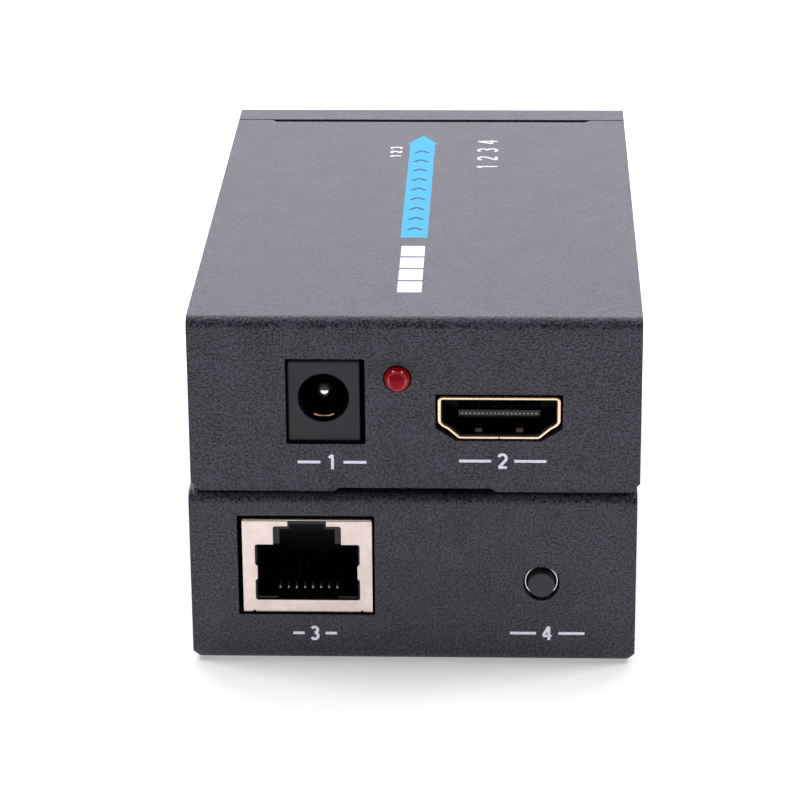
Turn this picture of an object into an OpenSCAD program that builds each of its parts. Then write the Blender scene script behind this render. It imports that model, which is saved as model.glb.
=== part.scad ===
// A pair of cable extender boxes, one lying on the other. Each is a folded steel case of a tray
// and a cover, with a circuit board, sockets, an indicator and a reset button inside.
// The upper box shows its power end at the front, the lower box its network end.

/* [Case] */
// Width of one case
case_w = 55; // [54:0.5:62]
// Length of one case over its end panels
case_l = 88; // [86:0.5:100]
// Height of one case
case_h = 22.6; // [22.2:0.1:28]
// Thickness of the steel sheet
sheet_t = 1.0; // [0.8:0.1:1.2]
// Outer radius of every bend
bend_r = 1.4; // [1.3:0.1:2]
// Width of the cut lower corners of the end panels
corner_w = 1.1; // [0.9:0.1:1.6]
// Height of the cut lower corners of the end panels
corner_h = 1.2; // [0.9:0.1:1.6]
// Gap between sheets that meet at a corner
sheet_gap = 0.15; // [0.1:0.05:0.3]

/* [Stack] */
// How far the upper box lies to the right of the lower one
stack_x = 0.3; // [0:0.1:1]
// How far the upper box lies behind the lower one
stack_y = 0.6; // [0:0.1:1.5]

/* [Cover seam] */
// Depth of the tray's flange over the top
flange_l = 6.0; // [5.5:0.5:9]
// Gap between the cover's rear edge and the flange
seam_gap = 0.25; // [0.15:0.05:0.4]
// Width of the recess in the cover's rear edge
recess_w = 44; // [30:1:48]
// Depth of the recess in the cover's rear edge
recess_d = 0.85; // [0.6:0.05:1.4]
// How far the hook of the cover reaches under the flange
hook_l = 3.4; // [2:0.2:4]
// Gap between the hook and the flange above it
hook_gap = 0.1; // [0.05:0.05:0.2]
// Width of the shallow notch in the front panel's lower edge
notch_w = 18.6; // [10:0.2:30]
// Height of the shallow notch in the front panel's lower edge
notch_h = 0.46; // [0.3:0.02:0.9]
// Width of the sloped ends of the recess and the notch
slope_w = 0.6; // [0.3:0.1:1]
// Height of the front panel's lower edge above the underside
edge_lift = 0.1; // [0.05:0.05:0.3]

/* [Side screws and lugs] */
// Distance between the two screws of a side
screw_pitch = 52; // [40:1:56]
// Depth of the side screws below the top
screw_drop = 5.2; // [4.6:0.1:6]
// Radius of a side screw's countersunk head
screw_head_r = 2.3; // [2:0.1:2.6]
// Radius of a side screw's shank
screw_r = 1.2; // [1:0.1:1.4]
// Length of a side screw
screw_l = 4.8; // [4:0.1:5.5]
// Length of a lug along the case
lug_l = 8; // [6:0.5:12]
// Width of a lug's upper leaf
lug_w = 5; // [4:0.5:7]
// Height of a lug's upright leaf
lug_h = 8.4; // [7.8:0.1:10]

/* [Circuit board] */
// Gap between the board's edge and the case wall
board_gap = 0.5; // [0.3:0.1:0.8]
// Thickness of the board
board_t = 1.6; // [1.2:0.1:2]
// Height of the standoffs as a share of the height that the network socket leaves free
standoff_share = 0.703; // [0.5:0.001:0.8]
// Radius of a standoff
standoff_r = 2.5; // [2.3:0.1:3]
// Radius of the standoff's shank in the floor
shank_r = 2.0; // [1.8:0.1:2.2]
// Distance of the board screws from the board's edges
screw_inset = 3.5; // [3:0.1:4.5]
// Radius of a board screw's thread
thread_r = 1.25; // [1:0.05:1.5]
// Radius of a board screw's head
pan_r = 2.5; // [2:0.1:2.8]
// Height of a board screw's head
pan_h = 1.6; // [1:0.1:2]

/* [Power jack] */
// Place of the jack across the front, seen from outside, as a share of half the width
jack_place_share = -0.402; // [-0.42:0.002:-0.39]
// Width of the jack
jack_w = 8.9; // [8.6:0.1:9.2]
// Height of the jack
jack_h = 10.55; // [10:0.05:11]
// Length of the jack
jack_l = 14.2; // [13:0.1:15]
// Height of the jack above the board
jack_lift = 0.4; // [0.3:0.05:0.5]
// How far the jack's face lies behind the panel's outer face
jack_set = 0.6; // [0.4:0.05:0.9]
// Radius of the jack's bore
jack_bore_r = 3.12; // [3:0.02:3.3]
// Height of the bore's axis above the jack's underside
jack_axis_z = 5.58; // [5.2:0.02:5.8]
// Depth of the jack's bore
jack_bore_l = 10; // [9:0.1:10.6]
// Radius of the centre pin
pin_r = 1.0; // [0.9:0.05:1.25]
// How far the pin's tip lies behind the jack's face
pin_set = 1.9; // [1:0.1:3]

/* [Indicator] */
// Place of the indicator across the front, seen from outside, as a share of half the width
led_place_share = -0.0745; // [-0.09:0.0005:-0.06]
// Height of the indicator's axis above the board
led_z = 8.9; // [8:0.1:9.6]
// Radius of the indicator's lens
led_r = 1.5; // [1.4:0.05:1.6]
// How far the dome of the lens stands out of the panel
led_out = 0.9; // [0.5:0.1:1.5]
// Length of the lens behind the panel's outer face
led_in = 3.4; // [3:0.1:4]

/* [AV socket] */
// Place of the AV socket across the front, seen from outside, as a share of half the width
av_place_share = 0.3735; // [0.36:0.0005:0.39]
// Width of the socket's shell
av_w = 14.9; // [14.6:0.1:15.2]
// Height of the socket's shell
av_h = 5.48; // [5.3:0.02:5.8]
// Width of the shell's flat bottom
av_foot_w = 9.8; // [9.4:0.1:10.4]
// Height of the shell's underside above the board
av_lift = 1.0; // [0.8:0.05:1.2]
// Thickness of the shell
av_t = 0.4; // [0.3:0.05:0.5]
// Length of the shell
av_l = 11; // [10:0.1:12]
// How far the shell stands out of the panel
av_out = 0.2; // [0:0.05:0.5]
// Width of the socket's tongue
tongue_w = 9.95; // [9.6:0.05:10.2]
// Thickness of the socket's tongue
tongue_t = 1.2; // [1:0.05:1.4]
// How far the tongue's edge lies behind the shell's mouth
tongue_set = 1.0; // [0.8:0.1:1.6]

/* [Network socket] */
// Place of the network socket across the back, seen from outside, as a share of half the width
lan_place_share = -0.4745; // [-0.5:0.0005:-0.45]
// Width of the socket's shield
lan_w = 16.1; // [15.8:0.1:16.4]
// Height of the socket's shield
lan_h = 12.6; // [12.4:0.1:13]
// Length of the socket's shield
lan_l = 16.4; // [15:0.1:18]
// Height of the shield above the board
lan_lift = 0.18; // [0.1:0.02:0.3]
// How far the shield's face lies behind the panel's outer face
lan_set = 0.5; // [0.3:0.05:0.8]
// Thickness of the shield
lan_t = 0.3; // [0.25:0.05:0.4]
// Width of the plug opening
port_w = 12.92; // [12:0.02:13.2]
// Height of the plug opening
port_h = 7.43; // [7:0.01:7.8]
// Height of the plug opening's floor above the shield's underside
port_z = 1.69; // [1.4:0.01:2]
// Depth of the plug opening
port_l = 13; // [12:0.1:14]
// Distance between neighbouring contacts
contact_pitch = 1.02; // [1:0.01:1.04]

/* [Reset switch] */
// Distance of the reset button from the case's side
reset_inset = 11.65; // [11:0.05:14]
// Height of the button's axis above the board
reset_z = 4.5; // [4:0.1:5]
// Radius of the reset button
button_r = 1.65; // [1.5:0.05:1.75]
// How far the button stands out of the panel
button_out = 0.45; // [0.2:0.05:1]
// Travel of the button
button_travel = 0.3; // [0.2:0.05:0.4]
// Radius of the hole for the button in the panel
reset_hole_r = 2.25; // [2:0.05:2.5]
// Width of the switch
switch_w = 6.2; // [6:0.1:7]
// Depth of the switch
switch_l = 3.6; // [3.4:0.1:4.5]

/* [Hidden] */

$fn = 48;
// Overrun of every cut
over = 1;
// Clearance round legs, pins and pieces pressed into a seat
seat_gap = 0.05;
// Running clearance of the button in its plate
run_gap = 0.1;

// Colours
powder_black = [0.13, 0.13, 0.14];
board_green = [0.05, 0.32, 0.16];
plastic_black = [0.06, 0.06, 0.065];
nickel = [0.82, 0.78, 0.74];
gold = [0.9, 0.72, 0.4];
steel = [0.6, 0.6, 0.62];
lens_red = [0.75, 0.05, 0.07];
chip_black = [0.1, 0.1, 0.11];
can_brown = [0.55, 0.45, 0.35];

// Levels and planes of one case
end_y = case_l / 2;
inner_top = case_h - sheet_t;
hook_z = inner_top - hook_gap - sheet_t;
standoff_h = standoff_share * (hook_z - sheet_t - board_t - lan_lift - lan_h);
board_z = sheet_t + standoff_h;
board_top = board_z + board_t;
board_w = case_w - 2 * (sheet_t + board_gap);
board_l = case_l - 2 * (sheet_t + board_gap);
board_edge = sheet_t + board_gap;
seam_y = end_y - flange_l;
jack_x = jack_place_share * case_w / 2;
led_x = led_place_share * case_w / 2;
av_x = av_place_share * case_w / 2;
lan_x = lan_place_share * case_w / 2;
reset_x = case_w / 2 - reset_inset;
wall_x = case_w / 2 - sheet_t;

// Legs that pass through the board
leg_t = 0.5;
leg_w = 1.0;
leg_below = 0.7;
leg_gap = 0.15;

// Cut-outs of the end panels round what they show
cut_corner_r = 0.2;
jack_cut_gap = 0.27;
jack_cut_shift = 0.15;
led_hole_gap = 0.2;
av_cut_side = 0.26;
av_cut_top = 0.2;
av_cut_low = 0.33;
lan_cut_side = 0.42;
lan_cut_low = 0.13;
lan_cut_top = 0.65;
lan_cut_shift = -0.12;

// Moves a child to a place seen from outside the front end; y runs into the case
module at_front(x, z) {
    translate([x, -end_y, z]) children();
}

// Moves a child to a place seen from outside the back end; y runs into the case
module at_back(x, z) {
    rotate([0, 0, 180]) at_front(x, z) children();
}

// Box that stands on z, centred on x and y
module block(size, at = [0, 0, 0]) {
    translate(at + [-size.x / 2, -size.y / 2, 0]) cube(size);
}

// Prism along x of an outline drawn in y and z
module along_x(w) {
    rotate([90, 0, 90]) linear_extrude(height = w, center = true) children();
}

// Prism along y of an outline drawn in x and z, from y0 inwards
module along_y(l, y0 = 0) {
    translate([0, y0 + l, 0]) rotate([90, 0, 0]) linear_extrude(height = l) children();
}

// Rectangle that stands on the origin with its two lower corners rounded
module cradle(w, h, r) {
    translate([-w / 2, r]) square([w, h - r]);
    translate([-w / 2 + r, 0]) square([w - 2 * r, r]);
    for (side = [-1, 1]) translate([side * (w / 2 - r), r]) circle(r = r);
}

// Rectangle with four round corners, standing on the origin
module soft_rect(w, h, r) {
    translate([-w / 2, r]) square([w, h - 2 * r]);
    translate([-w / 2 + r, 0]) square([w - 2 * r, h]);
    for (side = [-1, 1], z = [r, h - r]) translate([side * (w / 2 - r), z]) circle(r = r);
}

// Points of an arc about a centre, from one angle to another
function arc(c, r, a0, a1, steps) =
    [for (i = [0:steps]) c + r * [cos(a0 + (a1 - a0) * i / steps), sin(a0 + (a1 - a0) * i / steps)]];

// Unit vector that points out of a counter-clockwise edge from a to b
function edge_out(a, b) = [b.y - a.y, a.x - b.x] / norm(b - a);

// Closed counter-clockwise outline moved outwards by g, each corner along its bisector
function grown(points, g) =
    let (n = len(points))
    [for (i = [0:n - 1])
        let (
            before = edge_out(points[(i + n - 1) % n], points[i]),
            after = edge_out(points[i], points[(i + 1) % n])
        )
        points[i] + g * (before + after) / (1 + before * after)];

// Slope-ended band along an edge, drawn in plan, as a recess of one depth
module sloped_band(w, d) {
    polygon([[-w / 2 - slope_w, 0], [-w / 2, d], [w / 2, d], [w / 2 + slope_w, 0],
        [w / 2 + slope_w, -over], [-w / 2 - slope_w, -over]]);
}

// Two cut lower corners of an end panel, as prisms along y that start at y0
module corner_cuts(y0, l) {
    along_y(l, y0)
        for (side = [-1, 1])
            polygon([
                [side * (case_w / 2 - corner_w), 0],
                [side * case_w / 2, corner_h],
                [side * (case_w / 2 + over), corner_h],
                [side * (case_w / 2 + over), -over],
                [side * (case_w / 2 - corner_w), -over]
            ]);
}

// Outline of the AV socket's shell, standing on the origin
av_corner_r = 0.6;
av_arc_steps = 5;
av_side_z = 2.12;
av_knee = [0.54, 1.55];
av_waist = [1.09, 1.3];
av_shin = [2.15, 0.36];
av_half = concat(
    [[av_foot_w / 2, 0]],
    [[av_w / 2 - av_shin.x, av_shin.y], [av_w / 2 - av_waist.x, av_waist.y],
        [av_w / 2 - av_knee.x, av_knee.y], [av_w / 2, av_side_z]],
    arc([av_w / 2 - av_corner_r, av_h - av_corner_r], av_corner_r, 0, 90, av_arc_steps)
);
av_outline = concat(av_half, [for (i = [len(av_half) - 1:-1:0]) [-av_half[i].x, av_half[i].y]]);

// Cut-out of the panel round the AV socket, seen from outside
module av_cut() {
    low = -av_cut_low;
    top = av_h + av_cut_top;
    half = av_w / 2 + av_cut_side;
    foot = av_foot_w / 2 + av_cut_side;
    polygon([[foot, low], [half, av_waist.y], [half, top], [-half, top], [-half, av_waist.y],
        [-foot, low]]);
}

// The four places of the board screws
screw_x = board_w / 2 - screw_inset;
screw_y = board_l / 2 - screw_inset;
behind_av = -end_y - av_out + av_l + screw_inset;
behind_lan = end_y - lan_set - lan_l - screw_inset;
board_screw_places = [[-screw_x, -screw_y], [screw_x, behind_av], [-screw_x, screw_y], [screw_x, behind_lan]];

// The four places of the side screws, with the side each is on
module at_side_screws() {
    for (side = [-1, 1], y = [-screw_pitch / 2, screw_pitch / 2])
        translate([side * case_w / 2, y, case_h - screw_drop])
            rotate([0, -90 * side, 0])
                children();
}

// Lower part of the case: floor, two side walls, the back panel and its flange over the top
module base_tray() {
    wall_h = inner_top - sheet_gap;
    wall_l = case_l - 2 * (sheet_t + sheet_gap);
    color(powder_black)
        difference() {
            union() {
                along_y(wall_l, -wall_l / 2)
                    difference() {
                        cradle(case_w, wall_h, bend_r);
                        translate([0, sheet_t]) cradle(case_w - 2 * sheet_t, wall_h, bend_r - sheet_t);
                    }
                difference() {
                    along_x(case_w)
                        translate([end_y, case_h / 2])
                            rotate(90)
                                difference() {
                                    cradle(case_h, flange_l, bend_r);
                                    translate([0, sheet_t])
                                        cradle(case_h - 2 * sheet_t, flange_l, bend_r - sheet_t);
                                }
                    for (side = [-1, 1])
                        block([2 * bend_r, flange_l + over, case_h / 2],
                            [side * case_w / 2, end_y - sheet_t - (flange_l + over) / 2, -over]);
                    corner_cuts(end_y - 2 * bend_r, 2 * bend_r + over);
                }
            }
            tray_openings();
        }
}

// Holes of the tray: network socket, reset button, standoffs and side screws
module tray_openings() {
    at_back(lan_x + lan_cut_shift, board_top + lan_lift)
        along_y(sheet_t + 2 * over, -over)
            translate([0, -lan_cut_low])
                soft_rect(lan_w + 2 * lan_cut_side, lan_h + lan_cut_low + lan_cut_top, cut_corner_r);
    at_back(reset_x, board_top + reset_z)
        along_y(sheet_t + 2 * over, -over)
            circle(r = reset_hole_r);
    for (place = board_screw_places)
        translate([place.x, place.y, -over])
            cylinder(r = shank_r + seat_gap, h = sheet_t + 2 * over);
    at_side_screws() {
        translate([0, 0, -over]) cylinder(r = screw_r + seat_gap, h = sheet_t + 2 * over);
        cylinder(r1 = screw_head_r + seat_gap, r2 = screw_r + seat_gap, h = sheet_t);
    }
}

// Upper part of the case: front panel, top plate and the hook that goes under the tray's flange
module cover() {
    plate_l = case_l - flange_l - seam_gap;
    color(powder_black)
        difference() {
            union() {
                difference() {
                    along_x(case_w)
                        translate([-end_y, 0])
                            difference() {
                                cover_section(plate_l, case_h - edge_lift, bend_r);
                                translate([sheet_t, -sheet_t])
                                    cover_section(plate_l, case_h, bend_r - sheet_t);
                            }
                    translate([0, seam_y - seam_gap, case_h - sheet_t - over])
                        linear_extrude(height = sheet_t + 2 * over)
                            mirror([0, 1]) sloped_band(recess_w, recess_d);
                }
                hook();
            }
            translate([0, 0, edge_lift]) {
                corner_cuts(-end_y - over, sheet_t + 2 * over);
                along_y(sheet_t + 2 * over, -end_y - over)
                    sloped_band(notch_w, notch_h);
            }
            cover_openings();
        }
}

// Section of the cover's outer skin in y and z: a quadrant with its front upper corner rounded
module cover_section(l, h, r) {
    translate([0, case_h - h]) square([l, h - r]);
    translate([r, case_h - r]) square([l - r, r]);
    translate([r, case_h - r]) circle(r = r);
}

// Hook of the cover: it steps down from the plate in the recess and runs under the flange
module hook() {
    start = seam_y - seam_gap - recess_d;
    step_end = seam_y - seam_gap;
    tip = seam_y + hook_l;
    along_x(recess_w - 2 * slope_w)
        polygon([
            [start - sheet_t, inner_top],
            [start - sheet_t, case_h],
            [start, case_h],
            [step_end, hook_z + sheet_t],
            [tip, hook_z + sheet_t],
            [tip, hook_z],
            [step_end - sheet_t / 2, hook_z]
        ]);
}

// Holes of the cover's front panel: power jack, indicator and AV socket
module cover_openings() {
    at_front(jack_x + jack_cut_shift, board_top + jack_lift)
        along_y(sheet_t + 2 * over, -over)
            translate([0, -jack_cut_gap])
                soft_rect(jack_w + 2 * jack_cut_gap, jack_h + 2 * jack_cut_gap, cut_corner_r);
    at_front(led_x, board_top + led_z)
        along_y(sheet_t + 2 * over, -over)
            circle(r = led_r + led_hole_gap);
    at_front(av_x, board_top + av_lift)
        along_y(sheet_t + 2 * over, -over)
            av_cut();
}

// Four angle lugs welded under the cover, each with a threaded hole for a side screw
module cover_lugs() {
    leaf_x = wall_x - sheet_gap;
    color(steel)
        difference() {
            for (side = [-1, 1], y = [-screw_pitch / 2, screw_pitch / 2])
                translate([side * leaf_x, y, inner_top])
                    rotate([90, 0, 90 - 90 * side])
                        linear_extrude(height = lug_l, center = true)
                            rotate(180)
                                lug_section();
            at_side_screws()
                cylinder(r = screw_r + seat_gap, h = screw_l + over);
        }
}

// Section of a lug: an angle with its outer corner rounded
module lug_section() {
    difference() {
        union() {
            translate([0, bend_r]) square([sheet_t, lug_h - bend_r]);
            translate([bend_r, 0]) square([lug_w - bend_r, sheet_t]);
            translate([bend_r, bend_r]) circle(r = bend_r);
        }
        translate([sheet_t, sheet_t]) square([lug_w, lug_h]);
    }
}

// Four countersunk screws that hold the cover's lugs to the tray's walls
drive_r = 1.0;
drive_share = 0.7;
module side_screws() {
    color(steel)
        at_side_screws()
            difference() {
                union() {
                    cylinder(r1 = screw_head_r, r2 = screw_r, h = sheet_t);
                    cylinder(r = screw_r, h = screw_l);
                }
                translate([0, 0, -over]) cylinder(r = drive_r, h = over + drive_share * sheet_t, $fn = 6);
                translate([0, 0, -over]) cylinder(r = screw_head_r, h = over + seat_gap);
            }
}

// Four hexagonal standoffs clinched into the floor, each with a threaded hole
module standoffs() {
    color(steel)
        for (place = board_screw_places)
            translate([place.x, place.y, 0])
                difference() {
                    union() {
                        cylinder(r = shank_r, h = sheet_t);
                        translate([0, 0, sheet_t]) cylinder(r = standoff_r, h = standoff_h, $fn = 6);
                    }
                    translate([0, 0, sheet_t]) cylinder(r = thread_r + seat_gap, h = standoff_h + over);
                }
}

// Four pan-headed screws that hold the board on its standoffs
module board_screws() {
    thread_l = board_t + standoff_h * drive_share;
    color(steel)
        for (place = board_screw_places)
            translate([place.x, place.y, board_top])
                difference() {
                    union() {
                        translate([0, 0, -thread_l]) cylinder(r = thread_r, h = thread_l);
                        rotate_extrude()
                            intersection() {
                                translate([0, pan_h - pan_r * 2]) circle(r = pan_r * 2);
                                square([pan_r, pan_h]);
                            }
                    }
                    for (turn = [0, 90])
                        rotate([0, 0, turn])
                            block([2 * drive_r * drive_share * 2, drive_r * drive_share, pan_h],
                                [0, 0, pan_h * drive_share]);
                }
}

// Circuit board with its screw holes and the holes for every leg
module circuit_board() {
    color(board_green)
        difference() {
            block([board_w, board_l, board_t], [0, 0, board_z]);
            for (place = board_screw_places)
                translate([place.x, place.y, board_z - over])
                    cylinder(r = thread_r + leg_gap, h = board_t + 2 * over);
            jack_legs(leg_gap);
            led_legs(leg_gap);
            av_legs(leg_gap);
            lan_legs(leg_gap);
            lan_pegs(leg_gap);
            lan_pins(leg_gap);
            switch_legs(leg_gap);
        }
}

// Rectangular leg from a height above the board down through it, grown by a clearance
module leg(x, y, up, w, t, grow) {
    block([w + 2 * grow, t + 2 * grow, up + board_t + leg_below + grow],
        [x, y, -board_t - leg_below - grow]);
}

// Power jack

jack_front_l = 3.4;
jack_rear_share = 0.93;
jack_end_t = 0.6;
jack_foot_w = 1.2;
pin_shank_r = 0.75;
spring_w = 2.4;
spring_t = 0.3;
spring_slot_gap = 0.2;
spring_low = 3.55;
spring_high = 2.8;
spring_back = jack_l - leg_t - leg_w;

// Moves a child to the jack's own place: its lower front edge in the middle of the opening
module at_jack() {
    at_front(jack_x, board_top + jack_lift) translate([0, jack_set, 0]) children();
}

// Moulded body of the jack: a square mouth, a round barrel on a base, a bore and a contact slot
module power_jack() {
    barrel_r = jack_w / 2 * jack_rear_share;
    color(plastic_black)
        at_jack()
            difference() {
                union() {
                    block([jack_w, jack_front_l, jack_h], [0, jack_front_l / 2, 0]);
                    block([jack_w, jack_l, jack_axis_z], [0, jack_l / 2, 0]);
                    along_y(jack_l)
                        translate([0, jack_axis_z]) circle(r = barrel_r);
                    for (side = [-1, 1])
                        block([jack_foot_w, jack_l - jack_front_l, jack_lift],
                            [side * (jack_w - jack_foot_w) / 2, (jack_l + jack_front_l) / 2, -jack_lift]);
                }
                translate([0, 0, jack_axis_z]) {
                    along_y(jack_bore_l + over, -over) circle(r = jack_bore_r);
                    along_y(jack_l + 2 * over, -over) circle(r = pin_shank_r + seat_gap);
                    block([spring_w + 2 * spring_slot_gap, jack_l,
                            spring_low - spring_high + spring_t + seat_gap],
                        [0, jack_end_t + jack_l / 2, -spring_low - spring_t - seat_gap]);
                }
                block([spring_w + 2 * spring_slot_gap, leg_t + 2 * spring_slot_gap,
                        jack_axis_z - spring_low + over],
                    [0, spring_back, -over]);
            }
}

// Legs of the jack's two contacts
module jack_legs(grow) {
    at_jack()
        translate([0, 0, -jack_lift]) {
            leg(0, jack_l + leg_t / 2 + seat_gap, jack_lift, 2 * pin_r, leg_t, grow);
            leg(0, spring_back, jack_lift, spring_w, leg_t, grow);
        }
}

// Centre pin of the jack with its rounded tip and its leg behind the body
module power_pin() {
    tip_y = pin_set + pin_r;
    color(nickel)
        union() {
            at_jack()
                translate([0, 0, jack_axis_z]) {
                    translate([0, tip_y, 0]) sphere(r = pin_r);
                    along_y(jack_bore_l - tip_y, tip_y) circle(r = pin_r);
                    along_y(jack_l - jack_bore_l + leg_t + seat_gap, jack_bore_l) circle(r = pin_shank_r);
                }
            at_jack()
                block([2 * pin_r, leg_t, jack_axis_z + jack_lift],
                    [0, jack_l + leg_t / 2 + seat_gap, -jack_lift]);
            at_jack()
                translate([0, 0, -jack_lift])
                    leg(0, jack_l + leg_t / 2 + seat_gap, jack_lift, 2 * pin_r, leg_t, 0);
        }
}

// Leaf contact of the jack: it rises into the bore and comes back down to its leg
module power_spring() {
    mid_y = jack_bore_l / 2;
    start_y = jack_end_t + spring_t;
    color(nickel)
        union() {
            at_jack()
                translate([0, 0, jack_axis_z])
                    along_x(spring_w)
                        polygon([
                            [start_y, -spring_low], [mid_y, -spring_high],
                            [jack_bore_l - spring_t, -spring_low], [spring_back, -spring_low],
                            [spring_back, -spring_low - spring_t],
                            [jack_bore_l - spring_t, -spring_low - spring_t],
                            [mid_y, -spring_high - spring_t], [start_y, -spring_low - spring_t]
                        ]);
            at_jack()
                block([spring_w, leg_t, jack_axis_z - spring_low + jack_lift],
                    [0, spring_back, -jack_lift]);
            at_jack()
                translate([0, 0, -jack_lift])
                    leg(0, spring_back, jack_lift, spring_w, leg_t, 0);
        }
}

// Indicator

led_flange_r = 1.9;
led_flange_l = 1.0;
led_lead_pitch = 2.54;
led_lead_run = 2.2;

// Lens of the indicator: a dome on a straight body with a flange at its foot
module led_lens() {
    color(lens_red)
        at_front(led_x, board_top + led_z)
            union() {
                translate([0, led_r - led_out, 0]) sphere(r = led_r);
                along_y(led_in - led_r + led_out, led_r - led_out) circle(r = led_r);
                along_y(led_flange_l, led_in - led_flange_l) circle(r = led_flange_r);
            }
}

// Upright stretches of the indicator's two leads, down through the board
module led_legs(grow) {
    at_front(led_x, board_top)
        for (side = [-1, 1])
            leg(side * led_lead_pitch / 2, led_in + led_lead_run, led_z, leg_t, leg_t, grow);
}

// Two leads of the indicator, bent down to the board
module led_leads() {
    color(nickel) {
        at_front(led_x, board_top + led_z)
            for (side = [-1, 1])
                block([leg_t, led_lead_run + leg_t / 2, leg_t],
                    [side * led_lead_pitch / 2, led_in + (led_lead_run + leg_t / 2) / 2, -leg_t / 2]);
        led_legs(0);
    }
}

// AV socket

av_leg_front = 3.4;
av_leg_back = 9.2;
av_base_l = 4.4;
tongue_z = 2.26;
tongue_chamfer = 0.45;
av_seam_w = 0.12;
latch_x = 2.49;
latch_w = 0.85;
latch_h = 0.5;
latch_set = 1.1;
latch_l = 2.8;

// Moves a child to the AV socket's own place: the middle of the shell's mouth, on its underside
module at_av() {
    at_front(av_x, board_top + av_lift) translate([0, -av_out, 0]) children();
}

// Rolled shell of the AV socket with its two latch springs and four legs
module av_shell() {
    color(gold)
        union() {
            at_av()
                difference() {
                    along_y(av_l) polygon(av_outline);
                    along_y(av_l + 2 * over, -over) polygon(grown(av_outline, -av_t));
                    block([av_seam_w, av_l + 2 * over, 2 * av_t], [0, av_l / 2, -av_t / 2]);
                }
            at_av()
                for (side = [-1, 1])
                    translate([side * latch_x, latch_set, av_t])
                        along_x(latch_w)
                            polygon([[0, 0], [latch_h / 2, latch_h], [latch_l / 2, latch_h],
                                [latch_l, 0], [latch_l, -av_t / 2], [0, -av_t / 2]]);
            av_legs(0);
        }
}

// Four legs of the shell, down through the board
module av_legs(grow) {
    at_front(av_x, board_top)
        for (side = [-1, 1], y = [av_leg_front, av_leg_back])
            leg(side * (av_w - av_t) / 2, y - av_out, av_lift + av_side_z + leg_w, av_t, leg_w, grow);
}

// Moulded insert of the AV socket: a base that fills the shell's back and the tongue
module av_insulator() {
    base_y = av_l - av_base_l;
    color(plastic_black)
        at_av()
            union() {
                along_y(av_base_l, base_y) polygon(grown(av_outline, -av_t - seat_gap));
                along_x(tongue_w)
                    polygon([
                        [tongue_set + tongue_chamfer, tongue_z],
                        [base_y + over, tongue_z],
                        [base_y + over, tongue_z + tongue_t],
                        [tongue_set, tongue_z + tongue_t],
                        [tongue_set, tongue_z + tongue_chamfer]
                    ]);
            }
}

// Contact strips on both sides of the tongue, and their ends in its front edge
strip_pitch = 1.0;
strip_w = 0.42;
strip_t = 0.12;
strip_set = 0.5;
strip_count_above = 10;
strip_count_below = 9;
tip_w = 0.22;
tip_h = 0.24;
tip_z = 0.62;
tip_proud = 0.05;
tail_t = 0.15;
tail_run = 0.5;
tail_foot = 0.9;
module av_contacts() {
    strip_l = av_l - av_base_l - tongue_set - strip_set - tongue_chamfer;
    strip_y = tongue_set + tongue_chamfer + strip_set + strip_l / 2;
    all = strip_count_above + strip_count_below;
    color(gold)
        at_av() {
            for (i = [0:strip_count_above - 1])
                block([strip_w, strip_l, strip_t],
                    [(i - (strip_count_above - 1) / 2) * strip_pitch, strip_y, tongue_z + tongue_t]);
            for (i = [0:strip_count_below - 1])
                block([strip_w, strip_l, strip_t],
                    [(i - (strip_count_below - 1) / 2) * strip_pitch, strip_y, tongue_z - strip_t]);
            for (i = [0:all - 1])
                translate([(i - (all - 1) / 2) * strip_pitch / 2, 0, 0]) {
                    block([tip_w, tip_proud, tip_h], [0, tongue_set - tip_proud / 2, tongue_z + tip_z]);
                    av_tail();
                }
        }
}

// Tail of one contact: it leaves the base's rear and bends down onto the board
module av_tail() {
    bend_y = av_l + tail_run;
    along_x(tip_w)
        polygon([
            [av_l, tongue_z], [bend_y, tongue_z], [bend_y, tail_t - av_lift],
            [bend_y + tail_foot, tail_t - av_lift], [bend_y + tail_foot, -av_lift],
            [bend_y - tail_t, -av_lift], [bend_y - tail_t, tongue_z - tail_t], [av_l, tongue_z - tail_t]
        ]);
}

// Network socket

lan_fold_r = 0.4;
port_corner_r = 0.3;
port_mid_w = 8.36;
port_mid_z = 11.58;
port_tab_w = 4.76;
port_tab_z = 12.32;
bump_low = 4.52;
bump_high = 6.26;
bump_d = 0.3;
nick_x = 6.68;
nick_w = 0.4;
nick_h = 0.25;
lan_leg_y = 8.5;
key_mid_w = 6.8;
key_mid_z = 11.1;
key_tab_w = 4.3;
key_tab_z = 11.75;
rail_w = 2.5;
rail_h = 0.35;
throat_w = 12.5;

// Moves a child to the network socket's own place: the middle of its face, on its underside
module at_lan() {
    at_back(lan_x, board_top + lan_lift) translate([0, lan_set, 0]) children();
}

// Opening of the shield's face: the plug's body, the latch's shoulders and its nose
module port_outline() {
    half = port_w / 2;
    difference() {
        translate([0, port_z]) soft_rect(port_w, port_h, port_corner_r);
        for (side = [-1, 1])
            polygon([
                [side * (half + over), bump_low - bump_d], [side * half, bump_low - bump_d],
                [side * (half - bump_d), bump_low], [side * (half - bump_d), bump_high],
                [side * half, bump_high + bump_d], [side * (half + over), bump_high + bump_d]
            ]);
    }
    translate([0, port_z + port_corner_r])
        soft_rect(port_mid_w, port_mid_z - port_z - port_corner_r, port_corner_r);
    translate([-port_tab_w / 2, port_z + port_corner_r])
        square([port_tab_w, port_tab_z - port_z - port_corner_r]);
}

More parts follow.
